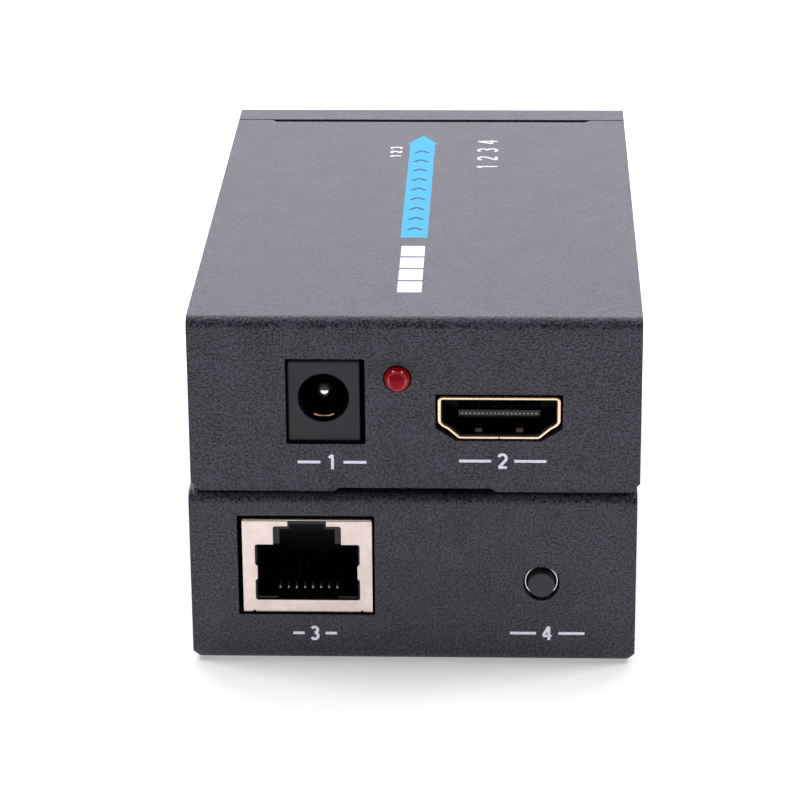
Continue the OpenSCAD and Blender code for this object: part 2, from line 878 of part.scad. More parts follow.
// Folded metal shield of the network socket, open below, with its legs
module lan_shield() {
    color(nickel)
        union() {
            at_lan()
                difference() {
                    block([lan_w, lan_l, lan_h], [0, lan_l / 2, 0]);
                    block([lan_w - 2 * lan_t, lan_l - 2 * lan_t, lan_h - lan_t + over],
                        [0, lan_l / 2, -over]);
                    along_y(lan_t + 2 * over, -over) port_outline();
                    along_x(lan_w + 2 * over)
                        difference() {
                            translate([-over, lan_h - lan_fold_r]) square([over + lan_fold_r, lan_fold_r + over]);
                            translate([lan_fold_r, lan_h - lan_fold_r]) circle(r = lan_fold_r);
                        }
                    for (side = [-1, 1])
                        along_y(lan_t + 2 * over, -over)
                            polygon([[side * nick_x - nick_w, -over], [side * nick_x - nick_w / 2, 0],
                                [side * nick_x, nick_h], [side * nick_x + nick_w / 2, 0],
                                [side * nick_x + nick_w, -over]]);
                }
            lan_legs(0);
        }
}

// Two legs of the shield, down through the board
module lan_legs(grow) {
    at_back(lan_x, board_top)
        for (side = [-1, 1])
            leg(side * (lan_w - lan_t) / 2, lan_set + lan_leg_y, lan_lift + leg_w, lan_t, 2 * leg_w, grow);
}

// Two round pegs of the housing, through the board
peg_r = 1.5;
peg_x = 5.72;
module lan_pegs(grow) {
    at_lan()
        for (side = [-1, 1])
            translate([side * peg_x, lan_leg_y, -lan_lift - board_t - grow])
                cylinder(r = peg_r + grow, h = lan_lift + board_t + port_z / 2 + grow);
}

// Eight pins under the housing, in two rows, down through the board
lan_pin_t = 0.4;
lan_pin_y = 9.6;
lan_pin_row = 2.54;
module lan_pins(grow) {
    at_back(lan_x, board_top)
        for (i = [0:contact_count - 1])
            leg((i - (contact_count - 1) / 2) * contact_pitch,
                lan_set + lan_pin_y + (i % 2) * lan_pin_row, lan_lift, lan_pin_t, lan_pin_t, grow);
}

// Moulded housing inside the shield, with the keyed throat that takes the plug
module lan_housing() {
    skin = lan_t + seat_gap;
    floor_z = port_z + seat_gap;
    color(plastic_black) {
        lan_pegs(0);
        at_lan()
            difference() {
                block([lan_w - 2 * skin, lan_l - 2 * skin, lan_h - skin], [0, lan_l / 2, 0]);
                along_y(port_l + over, -over) {
                    difference() {
                        translate([-throat_w / 2, port_z]) square([throat_w, port_h]);
                        for (side = [-1, 1])
                            translate([side * (throat_w - rail_w) / 2 - rail_w / 2, port_z])
                                square([rail_w, rail_h]);
                    }
                    translate([-key_mid_w / 2, floor_z]) square([key_mid_w, key_mid_z - floor_z]);
                    translate([-key_tab_w / 2, floor_z]) square([key_tab_w, key_tab_z - floor_z]);
                }
            }
    }
}

// Eight sprung contacts of the network socket: along the floor, round a bend and back up
contact_count = 8;
wire_t = 0.35;
wire_bend_r = 0.75;
wire_front = 2.7;
wire_rise = 13;
wire_run = 7.6;
module lan_contacts() {
    floor_z = port_z + seat_gap;
    bend_z = floor_z + wire_bend_r;
    color(gold) {
        lan_pins(0);
        at_lan()
            for (i = [0:contact_count - 1])
                translate([(i - (contact_count - 1) / 2) * contact_pitch, 0, 0])
                    along_x(wire_t) {
                        translate([wire_front + wire_bend_r, floor_z])
                            square([port_l - wire_front - wire_bend_r - seat_gap, wire_t]);
                        translate([wire_front + wire_bend_r, bend_z]) {
                            intersection() {
                                difference() {
                                    circle(r = wire_bend_r);
                                    circle(r = wire_bend_r - wire_t);
                                }
                                polygon([[0, 0], [0, -2 * wire_bend_r], [-2 * wire_bend_r, -2 * wire_bend_r],
                                    [-2 * wire_bend_r, 2 * wire_bend_r],
                                    2 * wire_bend_r * [-sin(wire_rise), cos(wire_rise)]]);
                            }
                            rotate(wire_rise)
                                translate([0, wire_bend_r - wire_t])
                                    square([wire_run, wire_t]);
                        }
                    }
    }
}

// Reset switch

plate_t = 0.3;
plate_gap = 0.3;
disc_r = 2.2;
disc_t = 0.6;
pocket_r = 2.5;
dome_h = 0.5;
dome_t = 0.1;
switch_top = 3.1;
switch_leg_x = 2.2;
pocket_l = seat_gap + disc_t + button_travel + seat_gap + dome_h + dome_t + seat_gap;

// Moves a child to the button's axis, with y running into the case from the panel's outer face
module at_reset() {
    at_back(reset_x, board_top + reset_z) children();
}

// Moulded body of the reset switch with the pocket for its button and dome
module switch_body() {
    front = sheet_t + plate_gap + plate_t;
    color(plastic_black)
        at_reset()
            difference() {
                block([switch_w, switch_l, reset_z + switch_top], [0, front + switch_l / 2, -reset_z]);
                along_y(pocket_l + over, front - over) circle(r = pocket_r);
            }
}

// Metal plate that closes the switch round its button, with the switch's legs
module switch_plate() {
    front = sheet_t + plate_gap;
    color(nickel)
        union() {
            at_reset()
                difference() {
                    block([switch_w, plate_t, reset_z + switch_top], [0, front + plate_t / 2, -reset_z]);
                    along_y(plate_t + 2 * over, front - over) circle(r = button_r + run_gap);
                }
            switch_strap();
            switch_legs(0);
        }
}

// Two straps of the plate along the sides of the switch
module switch_strap() {
    front = sheet_t + plate_gap;
    at_reset()
        for (side = [-1, 1])
            block([plate_t, switch_l + plate_t, leg_w * 2],
                [side * (switch_w / 2 + seat_gap + plate_t / 2), front + (switch_l + plate_t) / 2, -leg_w]);
    at_reset()
        for (side = [-1, 1])
            block([switch_w / 2 + seat_gap + plate_t - switch_leg_x, plate_t, leg_w * 2],
                [side * (switch_w / 2 + seat_gap + plate_t + switch_leg_x) / 2, front + plate_t / 2, -leg_w]);
}

// Two legs of the switch, at the ends of its straps, down through the board
module switch_legs(grow) {
    at_back(reset_x, board_top)
        for (side = [-1, 1])
            leg(side * (switch_w / 2 + seat_gap + plate_t / 2),
                sheet_t + plate_gap + switch_l, reset_z, plate_t, leg_w, grow);
}

// Button of the reset switch: a stem that shows in the panel on a disc held behind the plate
module reset_button() {
    disc_y = sheet_t + plate_gap + plate_t + seat_gap;
    color(plastic_black)
        at_reset()
            union() {
                along_y(button_out + disc_y + disc_t / 2, -button_out) circle(r = button_r);
                along_y(disc_t, disc_y) circle(r = disc_r);
            }
}

// Thin snap dome behind the button, resting on the pocket's floor
module contact_dome() {
    rim_y = sheet_t + plate_gap + plate_t + pocket_l - seat_gap;
    ball_r = (disc_r * disc_r + dome_h * dome_h) / (2 * dome_h);
    color(steel)
        at_reset()
            translate([0, rim_y, 0])
                rotate([90, 0, 0])
                    rotate_extrude()
                        intersection() {
                            translate([0, dome_h + dome_t - ball_r - dome_t])
                                difference() {
                                    circle(r = ball_r + dome_t);
                                    circle(r = ball_r);
                                }
                            square([disc_r, dome_h + dome_t]);
                        }
}

// Pieces on the board

chip_lift = 0.1;
lead_w = 0.3;
lead_t = 0.15;
lead_reach = 1.0;

// Packaged chip with bevelled top edges, a dimple at its first lead and leads along two or four sides
dot_r = 0.45;
dot_d = 0.1;
dot_inset = 1.3;
module chip(w, l, h, pitch, across, along) {
    mid_z = chip_lift + h / 2;
    bevel = lead_t;
    difference() {
        translate([0, 0, chip_lift]) chip_body(w, l, h, bevel);
        translate([dot_inset - w / 2, dot_inset - l / 2, chip_lift + h - dot_d])
            cylinder(r = dot_r, h = dot_d + over);
    }
    for (turn = [0, 180]) {
        if (across > 0) rotate([0, 0, turn]) lead_row(l / 2, mid_z, pitch, across);
        if (along > 0) rotate([0, 0, turn + 90]) lead_row(w / 2, mid_z, pitch, along);
    }
}

// Block of a chip with its four upper edges bevelled
module chip_body(w, l, h, bevel) {
    intersection() {
        along_x(w + over) polygon([[-l / 2, 0], [l / 2, 0], [l / 2, h - bevel],
            [l / 2 - bevel, h], [bevel - l / 2, h], [-l / 2, h - bevel]]);
        along_y(l + over, -(l + over) / 2) polygon([[-w / 2, 0], [w / 2, 0], [w / 2, h - bevel],
            [w / 2 - bevel, h], [bevel - w / 2, h], [-w / 2, h - bevel]]);
    }
}

// Row of gull-wing leads that leave an edge at y and come down to the board
module lead_row(y, z, pitch, count) {
    for (i = [0:count - 1])
        translate([(i - (count - 1) / 2) * pitch, 0, 0])
            along_x(lead_w)
                polygon([
                    [y - lead_t, z], [y + lead_reach / 2, z], [y + lead_reach / 2, lead_t],
                    [y + lead_reach, lead_t], [y + lead_reach, 0], [y + lead_reach / 2 - lead_t, 0],
                    [y + lead_reach / 2 - lead_t, z - lead_t], [y - lead_t, z - lead_t]
                ]);
}

// Free stretch of the board between the jack and the network socket
free_front = -end_y + jack_set + jack_l + leg_t;
free_l = end_y - lan_set - lan_l - free_front;

// Places of the pieces as shares of the board's half width and of the free stretch's length
main_chip_shares = [0.02, 0.316];
network_chip_shares = [0.55, 0.53];
memory_chip_shares = [-0.55, 0.62];
transformer_shares = [0.42, 0.8];
crystal_shares = [-0.5, 0.91];
choke_shares = [-0.74, 0.316];
capacitor_shares = [[-0.74, 0.102], [-0.47, 0.102], [0.76, 0.102]];

// Moves a child to a place on the board given in shares
module on_board(shares) {
    translate([shares[0] * board_w / 2, free_front + shares[1] * free_l, board_top]) children();
}

// Largest chip, which codes the picture for the network cable
main_chip_w = 14;
main_chip_h = 1.4;
main_chip_pitch = 0.8;
main_chip_leads = 16;
module main_chip() {
    color(chip_black)
        on_board(main_chip_shares)
            chip(main_chip_w, main_chip_w, main_chip_h, main_chip_pitch, main_chip_leads, main_chip_leads);
}

// Chip that drives the network socket
network_chip_w = 7;
network_chip_h = 1.0;
network_chip_leads = 8;
module network_chip() {
    color(chip_black)
        on_board(network_chip_shares)
            chip(network_chip_w, network_chip_w, network_chip_h, main_chip_pitch,
                network_chip_leads, network_chip_leads);
}

// Memory chip with leads along two sides
memory_chip_w = 10.2;
memory_chip_l = 7.5;
memory_chip_h = 1.2;
memory_chip_leads = 12;
module memory_chip() {
    color(chip_black)
        on_board(memory_chip_shares)
            chip(memory_chip_w, memory_chip_l, memory_chip_h, main_chip_pitch, memory_chip_leads, 0);
}

// Isolating transformer between the network chip and its socket
transformer_w = 12.6;
transformer_l = 9.4;
transformer_h = 5.8;
transformer_pitch = 1.27;
transformer_leads = 8;
module line_transformer() {
    color(chip_black)
        on_board(transformer_shares)
            chip(transformer_w, transformer_l, transformer_h, transformer_pitch, transformer_leads, 0);
}

// Small chip capacitors in two columns beside the largest chip: a body with two end caps
small_w = 0.8;
small_l = 1.6;
small_h = 0.7;
small_pitch = 2.2;
small_count = 4;
small_gap = 0.8;
cap_share = 0.22;
cap_proud = 0.04;
module small_parts() {
    side_x = main_chip_w / 2 + lead_reach + small_gap + small_w / 2;
    color(can_brown)
        on_board(main_chip_shares)
            for (side = [-1, 1], i = [0:small_count - 1])
                translate([side * side_x, (i - (small_count - 1) / 2) * small_pitch, 0]) {
                    block([small_w, small_l, small_h], [0, 0, cap_proud]);
                    for (end = [-1, 1])
                        block([small_w + 2 * cap_proud, small_l * cap_share, small_h + 2 * cap_proud],
                            [0, end * (small_l * (1 - cap_share) / 2 + cap_proud), 0]);
                }
}

// Three electrolytic capacitors: an aluminium can with a rolled groove on a square base
can_r = 3.15;
can_h = 7.4;
can_base_h = 0.9;
can_groove_z = 1.9;
can_groove_r = 0.35;
can_edge_r = 0.5;
module capacitors() {
    color(nickel)
        for (shares = capacitor_shares)
            on_board(shares) {
                block([2 * can_r, 2 * can_r, can_base_h]);
                rotate_extrude()
                    difference() {
                        union() {
                            square([can_r, can_h - can_edge_r]);
                            square([can_r - can_edge_r, can_h]);
                            translate([can_r - can_edge_r, can_h - can_edge_r]) circle(r = can_edge_r);
                        }
                        translate([can_r, can_groove_z]) circle(r = can_groove_r);
                    }
            }
}

// Quartz crystal in its long round-ended can
crystal_w = 10.8;
crystal_l = 4.4;
crystal_h = 3.5;
crystal_rim = 0.3;
crystal_rim_h = 0.6;
module crystal() {
    color(nickel)
        on_board(crystal_shares) {
            linear_extrude(height = crystal_h) stadium(crystal_w - 2 * crystal_rim, crystal_l - 2 * crystal_rim);
            linear_extrude(height = crystal_rim_h) stadium(crystal_w, crystal_l);
        }
}

// Strip with round ends, centred on the origin
module stadium(w, l) {
    square([w - l, l], center = true);
    for (side = [-1, 1]) translate([side * (w - l) / 2, 0]) circle(r = l / 2);
}

// Power choke: a drum between two square flanges
choke_w = 7;
choke_h = 4;
choke_flange_h = 0.9;
module choke() {
    color(chip_black)
        on_board(choke_shares) {
            block([choke_w, choke_w, choke_flange_h]);
            cylinder(r = choke_w / 2 - choke_flange_h, h = choke_h);
            translate([0, 0, choke_h - choke_flange_h]) cylinder(r = choke_w / 2, h = choke_flange_h);
        }
}

// Moves a child into the lower box, which shows its back end at the front
module receiver() {
    translate([-stack_x / 2, -stack_y / 2, 0]) rotate([0, 0, 180]) children();
}

// Moves a child into the upper box, which shows its front end at the front
module sender() {
    translate([stack_x / 2, stack_y / 2, case_h]) children();
}

receiver() base_tray();  // receiver_base_tray
receiver() cover();  // receiver_cover
receiver() cover_lugs();  // receiver_cover_lugs
receiver() side_screws();  // receiver_side_screws
receiver() standoffs();  // receiver_standoffs
receiver() circuit_board();  // receiver_circuit_board
receiver() board_screws();  // receiver_board_screws
receiver() power_jack();  // receiver_power_jack
receiver() power_pin();  // receiver_power_pin
receiver() power_spring();  // receiver_power_spring
receiver() led_lens();  // receiver_led_lens
receiver() led_leads();  // receiver_led_leads
receiver() av_shell();  // receiver_av_shell
receiver() av_insulator();  // receiver_av_insulator
receiver() av_contacts();  // receiver_av_contacts
receiver() lan_shield();  // receiver_lan_shield
receiver() lan_housing();  // receiver_lan_housing
receiver() lan_contacts();  // receiver_lan_contacts
receiver() switch_body();  // receiver_switch_body
receiver() switch_plate();  // receiver_switch_plate
receiver() reset_button();  // receiver_reset_button
receiver() contact_dome();  // receiver_contact_dome
receiver() main_chip();  // receiver_main_chip
receiver() network_chip();  // receiver_network_chip
receiver() memory_chip();  // receiver_memory_chip
receiver() line_transformer();  // receiver_line_transformer
receiver() capacitors();  // receiver_capacitors
receiver() crystal();  // receiver_crystal
receiver() choke();  // receiver_choke
receiver() small_parts();  // receiver_small_parts
sender() base_tray();  // sender_base_tray
sender() cover();  // sender_cover
sender() cover_lugs();  // sender_cover_lugs
sender() side_screws();  // sender_side_screws
sender() standoffs();  // sender_standoffs
sender() circuit_board();  // sender_circuit_board
sender() board_screws();  // sender_board_screws
sender() power_jack();  // sender_power_jack
sender() power_pin();  // sender_power_pin
sender() power_spring();  // sender_power_spring
sender() led_lens();  // sender_led_lens
sender() led_leads();  // sender_led_leads
sender() av_shell();  // sender_av_shell
sender() av_insulator();  // sender_av_insulator
sender() av_contacts();  // sender_av_contacts
sender() lan_shield();  // sender_lan_shield
sender() lan_housing();  // sender_lan_housing
sender() lan_contacts();  // sender_lan_contacts
sender() switch_body();  // sender_switch_body
sender() switch_plate();  // sender_switch_plate
sender() reset_button();  // sender_reset_button
sender() contact_dome();  // sender_contact_dome
sender() main_chip();  // sender_main_chip
sender() network_chip();  // sender_network_chip
sender() memory_chip();  // sender_memory_chip
sender() line_transformer();  // sender_line_transformer
sender() capacitors();  // sender_capacitors
sender() crystal();  // sender_crystal
sender() choke();  // sender_choke
sender() small_parts();  // sender_small_parts
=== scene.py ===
"""Looks of a pair of cable extender boxes, one lying on the other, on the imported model's frame."""

import logging
import math
from collections.abc import Callable, Mapping, Sequence
from dataclasses import dataclass, field
from enum import Enum

import bmesh
import bpy
import numpy as np
from mathutils import Matrix, Vector


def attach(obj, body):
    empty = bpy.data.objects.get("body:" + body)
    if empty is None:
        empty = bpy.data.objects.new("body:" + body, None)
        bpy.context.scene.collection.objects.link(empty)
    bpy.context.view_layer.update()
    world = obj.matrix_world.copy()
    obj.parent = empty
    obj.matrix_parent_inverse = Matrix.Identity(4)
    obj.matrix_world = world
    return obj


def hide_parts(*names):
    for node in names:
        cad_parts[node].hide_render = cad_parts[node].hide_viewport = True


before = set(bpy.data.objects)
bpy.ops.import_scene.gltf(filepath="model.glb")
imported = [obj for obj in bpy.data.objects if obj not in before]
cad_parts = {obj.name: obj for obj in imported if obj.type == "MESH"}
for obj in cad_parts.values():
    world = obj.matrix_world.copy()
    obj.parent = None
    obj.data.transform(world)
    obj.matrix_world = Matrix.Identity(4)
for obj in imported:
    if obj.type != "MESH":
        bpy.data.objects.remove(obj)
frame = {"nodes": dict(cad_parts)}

LOG = logging.getLogger("extender_pair")
MM = 0.001
PER_METRE = 1000
CASE_L = 88.0
CASE_H = 22.6


# Places


class End(Enum):
    """The two end panels of a box, with the sign that turns their own axes into the case's."""

    POWER = 1
    NETWORK = -1


class Plane(Enum):
    """The faces that carry print: an end panel, or the top."""

    PANEL = "panel"
    TOP = "top"


@dataclass(frozen=True)
class Seat:
    """Where one box lies: its name, its shift in millimetres and whether it is turned round."""

    name: str
    shift: tuple[float, float, float]
    turned: bool

    def node(self, piece: str) -> str:
        """Name of this box's CAD node."""
        return f"{self.name}_{piece}"

    def to_frame(self, points: np.ndarray, end: End = End.POWER) -> np.ndarray:
        """Moves points from an end panel's own axes to the shared frame.

        The panel's axes are: across as seen from outside, inwards from the panel's face, and up.
        The far panel's axes are the near one's turned by half a turn about the upright, and a turned
        box gets one more half turn; then the box's shift is added.

        Args:
            points: Rows of across, depth and height, in millimetres.
            end: The panel that the points belong to.

        Returns:
            The same points in metres, in the shared frame.
        """
        sign = self.sign(end)
        return ((points - (0, CASE_L / 2, 0)) * (sign, sign, 1) + self.shift) * MM

    def from_frame(self, points: np.ndarray, end: End = End.POWER) -> np.ndarray:
        """Moves points the other way, from the shared frame to an end panel's own axes.

        Args:
            points: Rows of points in metres.
            end: The panel whose axes are wanted.

        Returns:
            Rows of across, depth and height, in millimetres.
        """
        sign = self.sign(end)
        return (points / MM - self.shift) * (sign, sign, 1) + (0, CASE_L / 2, 0)

    def sign(self, end: End) -> int:
        """Sign of a panel's across and depth axes in the shared frame."""
        return end.value * (-1 if self.turned else 1)


SENDER = Seat("sender", (0.15, 0.3, CASE_H), False)
RECEIVER = Seat("receiver", (-0.15, -0.3, 0.0), True)


# Surfaces

WIRE_TIP = 0.55
ROD_TIP = 0.6
ROD_INSET = 0.3
PRINT_OUT = 0.008
PRINT_INTO = 0.03
HAIR = 0.0015


@dataclass
class Patch:
    """Points in millimetres and the faces between them."""

    points: np.ndarray
    faces: list[list[int]]

    @staticmethod
    def grid(points: np.ndarray, wrap: bool = True, caps: bool = False) -> "Patch":
        """Joins each point of a grid to its neighbours along and across.

        Args:
            points: Grid of rows along a path and columns round a section.
            wrap: Whether the last column joins the first.
            caps: Whether the first and the last section are closed by a face.

        Returns:
            The patch.
        """
        rows, columns = points.shape[:2]
        index = np.arange(rows * columns).reshape(rows, columns)
        ring = np.hstack([index, index[:, :1]]) if wrap else index
        quads = np.stack([ring[:-1, :-1], ring[1:, :-1], ring[1:, 1:], ring[:-1, 1:]], axis=-1)
        faces = quads.reshape(-1, 4).tolist()
        if caps:
            faces += [index[0].tolist(), index[-1, ::-1].tolist()]
        return Patch(points.reshape(-1, 3), faces)

    @staticmethod
    def joined(patches: Sequence["Patch"]) -> "Patch":
        """Puts several patches into one, each with its faces' numbers moved on.

        Args:
            patches: The patches.

        Returns:
            One patch.
        """
        starts = np.cumsum([0] + [len(p.points) for p in patches])
        faces = [
            [int(start) + i for i in face]
            for start, patch in zip(starts, patches)
            for face in patch.faces
        ]
        return Patch(np.vstack([p.points for p in patches]), faces)

    def moved(self, across: float, depth: float, up: float) -> "Patch":
        """The same patch at another place."""
        return Patch(self.points + (across, depth, up), self.faces)


def turned_profile(profile: np.ndarray, steps: int = 64) -> Patch:
    """Turns a profile about the depth axis.

    Each profile point (radius, depth) goes round a circle: across is radius times cosine, height is
    radius times sine of an angle in even steps. Ends with radius zero are the poles.

    Args:
        profile: Rows of radius and depth.
        steps: Number of points round the circle.

    Returns:
        The closed skin.
    """
    angle = np.linspace(0, 2 * np.pi, steps, endpoint=False)
    radius = profile[:, :1]
    depth = np.repeat(profile[:, 1:], steps, axis=1)
    return Patch.grid(np.stack([radius * np.cos(angle), depth, radius * np.sin(angle)], axis=-1))


def quarter(centre: Sequence[float], radius: float, start: float, stop: float,
            steps: int = 6) -> np.ndarray:
    """Arc about a centre between two angles in degrees: radius times cosine and sine of each."""
    angle = np.radians(np.linspace(start, stop, steps))
    return np.asarray(centre) + radius * np.stack([np.cos(angle), np.sin(angle)], axis=-1)


def softened(outline: np.ndarray, reach: float, steps: int = 4, closed: bool = True) -> np.ndarray:
    """Rounds the corners of an outline.

    Each corner becomes a parabola arc: it starts the reach before the corner on one edge and ends the
    reach after it on the other, or nearly half an edge where the edge is short.

    Args:
        outline: Corner points.
        reach: Length of each edge that the rounding takes.
        steps: Points of each arc.
        closed: Whether the last point joins the first; if not, both ends stay sharp.

    Returns:
        The rounded outline.
    """
    before = np.roll(outline, 1, axis=0) - outline
    after = np.roll(outline, -1, axis=0) - outline
    lengths = [np.linalg.norm(edge, axis=1, keepdims=True) for edge in (before, after)]
    first = outline + before * np.minimum(reach / lengths[0], 0.48)
    last = outline + after * np.minimum(reach / lengths[1], 0.48)
    t = np.linspace(0, 1, steps)[None, :, None]
    arcs = (1 - t) ** 2 * first[:, None] + 2 * t * (1 - t) * outline[:, None] + t**2 * last[:, None]
    if closed:
        return arcs.reshape(-1, outline.shape[1])
    inner = arcs[1:-1].reshape(-1, outline.shape[1])
    return np.vstack([outline[:1], inner, outline[-1:]])


def outward(outline: np.ndarray, closed: bool = True) -> np.ndarray:
    """Mitre directions of an outline that runs counter-clockwise.

    An edge's outward side is the edge turned right by a quarter turn. A point's direction is the sum
    of its two edges' sides, divided by one plus their dot product, so that a step along it moves both
    edges by that step.

    Args:
        outline: Points of the outline.
        closed: Whether the last point joins the first.

    Returns:
        One direction for each point.
    """
    edge = np.roll(outline, -1, axis=0) - outline
    if not closed:
        edge[-1] = edge[-2]
    side = np.stack([edge[:, 1], -edge[:, 0]], axis=-1) / np.linalg.norm(edge, axis=1, keepdims=True)
    before = np.roll(side, 1, axis=0)
    if not closed:
        before[0] = side[0]
    return (before + side) / (1 + np.sum(before * side, axis=1, keepdims=True))


def bar(low: Sequence[float], high: Sequence[float], edge: float, steps: int = 3) -> Patch:
    """Upright bar with softened edges.

    Its section is a rectangle whose corners are quarter circles, and near both ends the section draws
    in along a quarter circle too.

    Args:
        low: Lowest corner.
        high: Highest corner.
        edge: Radius of the edges.
        steps: Points of each quarter circle.

    Returns:
        The closed bar.
    """
    least, most = np.asarray(low, float), np.asarray(high, float)
    turn = np.linspace(0, np.pi / 2, steps)
    inset = edge * (1 - np.sin(turn))
    level = np.sort(np.concatenate([least[2] + inset, most[2] - inset]))
    radius = edge * np.concatenate([np.sin(turn), np.cos(turn)])
    angle = (np.arange(4)[:, None] * np.pi / 2 + turn).reshape(-1)
    way = np.stack([np.cos(angle), np.sin(angle)], axis=-1)
    sign = np.repeat(np.array([[1, 1], [-1, 1], [-1, -1], [1, -1]]), steps, axis=0)
    flat = (least[:2] + most[:2]) / 2 + sign * ((most[:2] - least[:2]) / 2 - edge)
    ring = flat[None] + radius[:, None, None] * way[None]
    high_column = np.repeat(level[:, None, None], ring.shape[1], axis=1)
    return Patch.grid(np.concatenate([ring, high_column], axis=-1), caps=True)


def leaf(path: np.ndarray, width: float, thick: float) -> Patch:
    """Strip of spring metal that follows a path drawn in depth and height.

    The lower face is the path moved by the thickness along its sideways direction, and both faces are
    as wide as the strip.

    Args:
        path: Rows of depth and height of the upper face.
        width: Width across.
        thick: Thickness.

    Returns:
        The closed strip.
    """
    lower = path + thick * outward(path, closed=False)
    half = np.full((len(path), 1), width / 2)
    rounds = ((-half, path), (half, path), (half, lower), (-half, lower))
    return Patch.grid(np.stack([np.hstack(corner) for corner in rounds], axis=1), caps=True)


def wire(path: np.ndarray, radius: float, across: float, steps: int = 10) -> Patch:
    """Round wire along a path drawn in depth and height.

    Each path point carries a circle: across is radius times cosine, and radius times sine goes along
    the path's sideways direction. The two end circles are smaller, which rounds the ends.

    Args:
        path: Rows of depth and height of the wire's middle.
        radius: Radius of the wire.
        across: Place of the wire across the panel.
        steps: Points round the wire.

    Returns:
        The closed wire.
    """
    side = outward(path, closed=False)
    angle = np.linspace(0, 2 * np.pi, steps, endpoint=False)
    size = np.full(len(path), radius)
    size[[0, -1]] = radius * WIRE_TIP
    x = across + size[:, None] * np.cos(angle)
    flat = path[:, None] + (size[:, None] * np.sin(angle))[..., None] * side[:, None]
    return Patch.grid(np.concatenate([x[..., None], flat], axis=-1), caps=True)


def rod(half: float, radius: float, steps: int = 10) -> Patch:
    """Straight round rod across the panel.

    Each place along the rod carries a circle: depth is radius times cosine, height radius times sine.
    The two end circles are smaller.

    Args:
        half: Half length of the rod.
        radius: Radius of the rod.
        steps: Points round the rod.

    Returns:
        The closed rod.
    """
    angle = np.linspace(0, 2 * np.pi, steps, endpoint=False)
    inner = half - ROD_INSET * radius
    x = np.array([-half, -inner, inner, half])
    size = radius * np.array([ROD_TIP, 1.0, 1.0, ROD_TIP])
    ring = size[:, None, None] * np.stack([np.cos(angle), np.sin(angle)], axis=-1)
    place = np.broadcast_to(x[:, None, None], ring.shape[:2] + (1,))
    return Patch.grid(np.concatenate([place, ring], axis=-1), caps=True)


def stroke(path: np.ndarray, half: np.ndarray | float, plane: Plane, level: float) -> Patch:
    """Thin printed stroke along a flat path.

    Its two edges are the path moved to both sides by the half width, and it reaches a little into the
    sheet and a hair out of it.

    Args:
        path: Rows of the two coordinates in the printed face.
        half: Half width of the stroke, one value or one for each point.
        plane: The printed face.
        level: Depth of a panel's face, or height of the top.

    Returns:
        The closed stroke.
    """
    side = outward(path, closed=False) * np.reshape(half, (-1, 1))
    flat = np.stack([path - side, path + side, path + side, path - side], axis=1)
    rise = np.array([PRINT_OUT, PRINT_OUT, -PRINT_INTO, -PRINT_INTO])
    rise = np.broadcast_to(rise[None, :, None], flat.shape[:2] + (1,))
    if plane is Plane.PANEL:
        rows = [flat[..., :1], level - rise, flat[..., 1:]]
    else:
        rows = [flat, level + rise]
    return Patch.grid(np.concatenate(rows, axis=-1), caps=True)


def mesh_points(mesh: bpy.types.Mesh) -> np.ndarray:
    """Reads a mesh's points, in metres.

    Args:
        mesh: The mesh.

    Returns:
        One row for each point.
    """
    points = np.empty(3 * len(mesh.vertices))
    mesh.vertices.foreach_get("co", points)
    return points.reshape(-1, 3)


# Materials

Colour = tuple[float, float, float, float]


def linear(red: float, green: float, blue: float) -> Colour:
    """Colour for a shader from three values of 0 to 255: each share is raised by the usual curve."""
    light = (((c / 255 + 0.055) / 1.055) ** 2.4 for c in (red, green, blue))
    return (*light, 1.0)


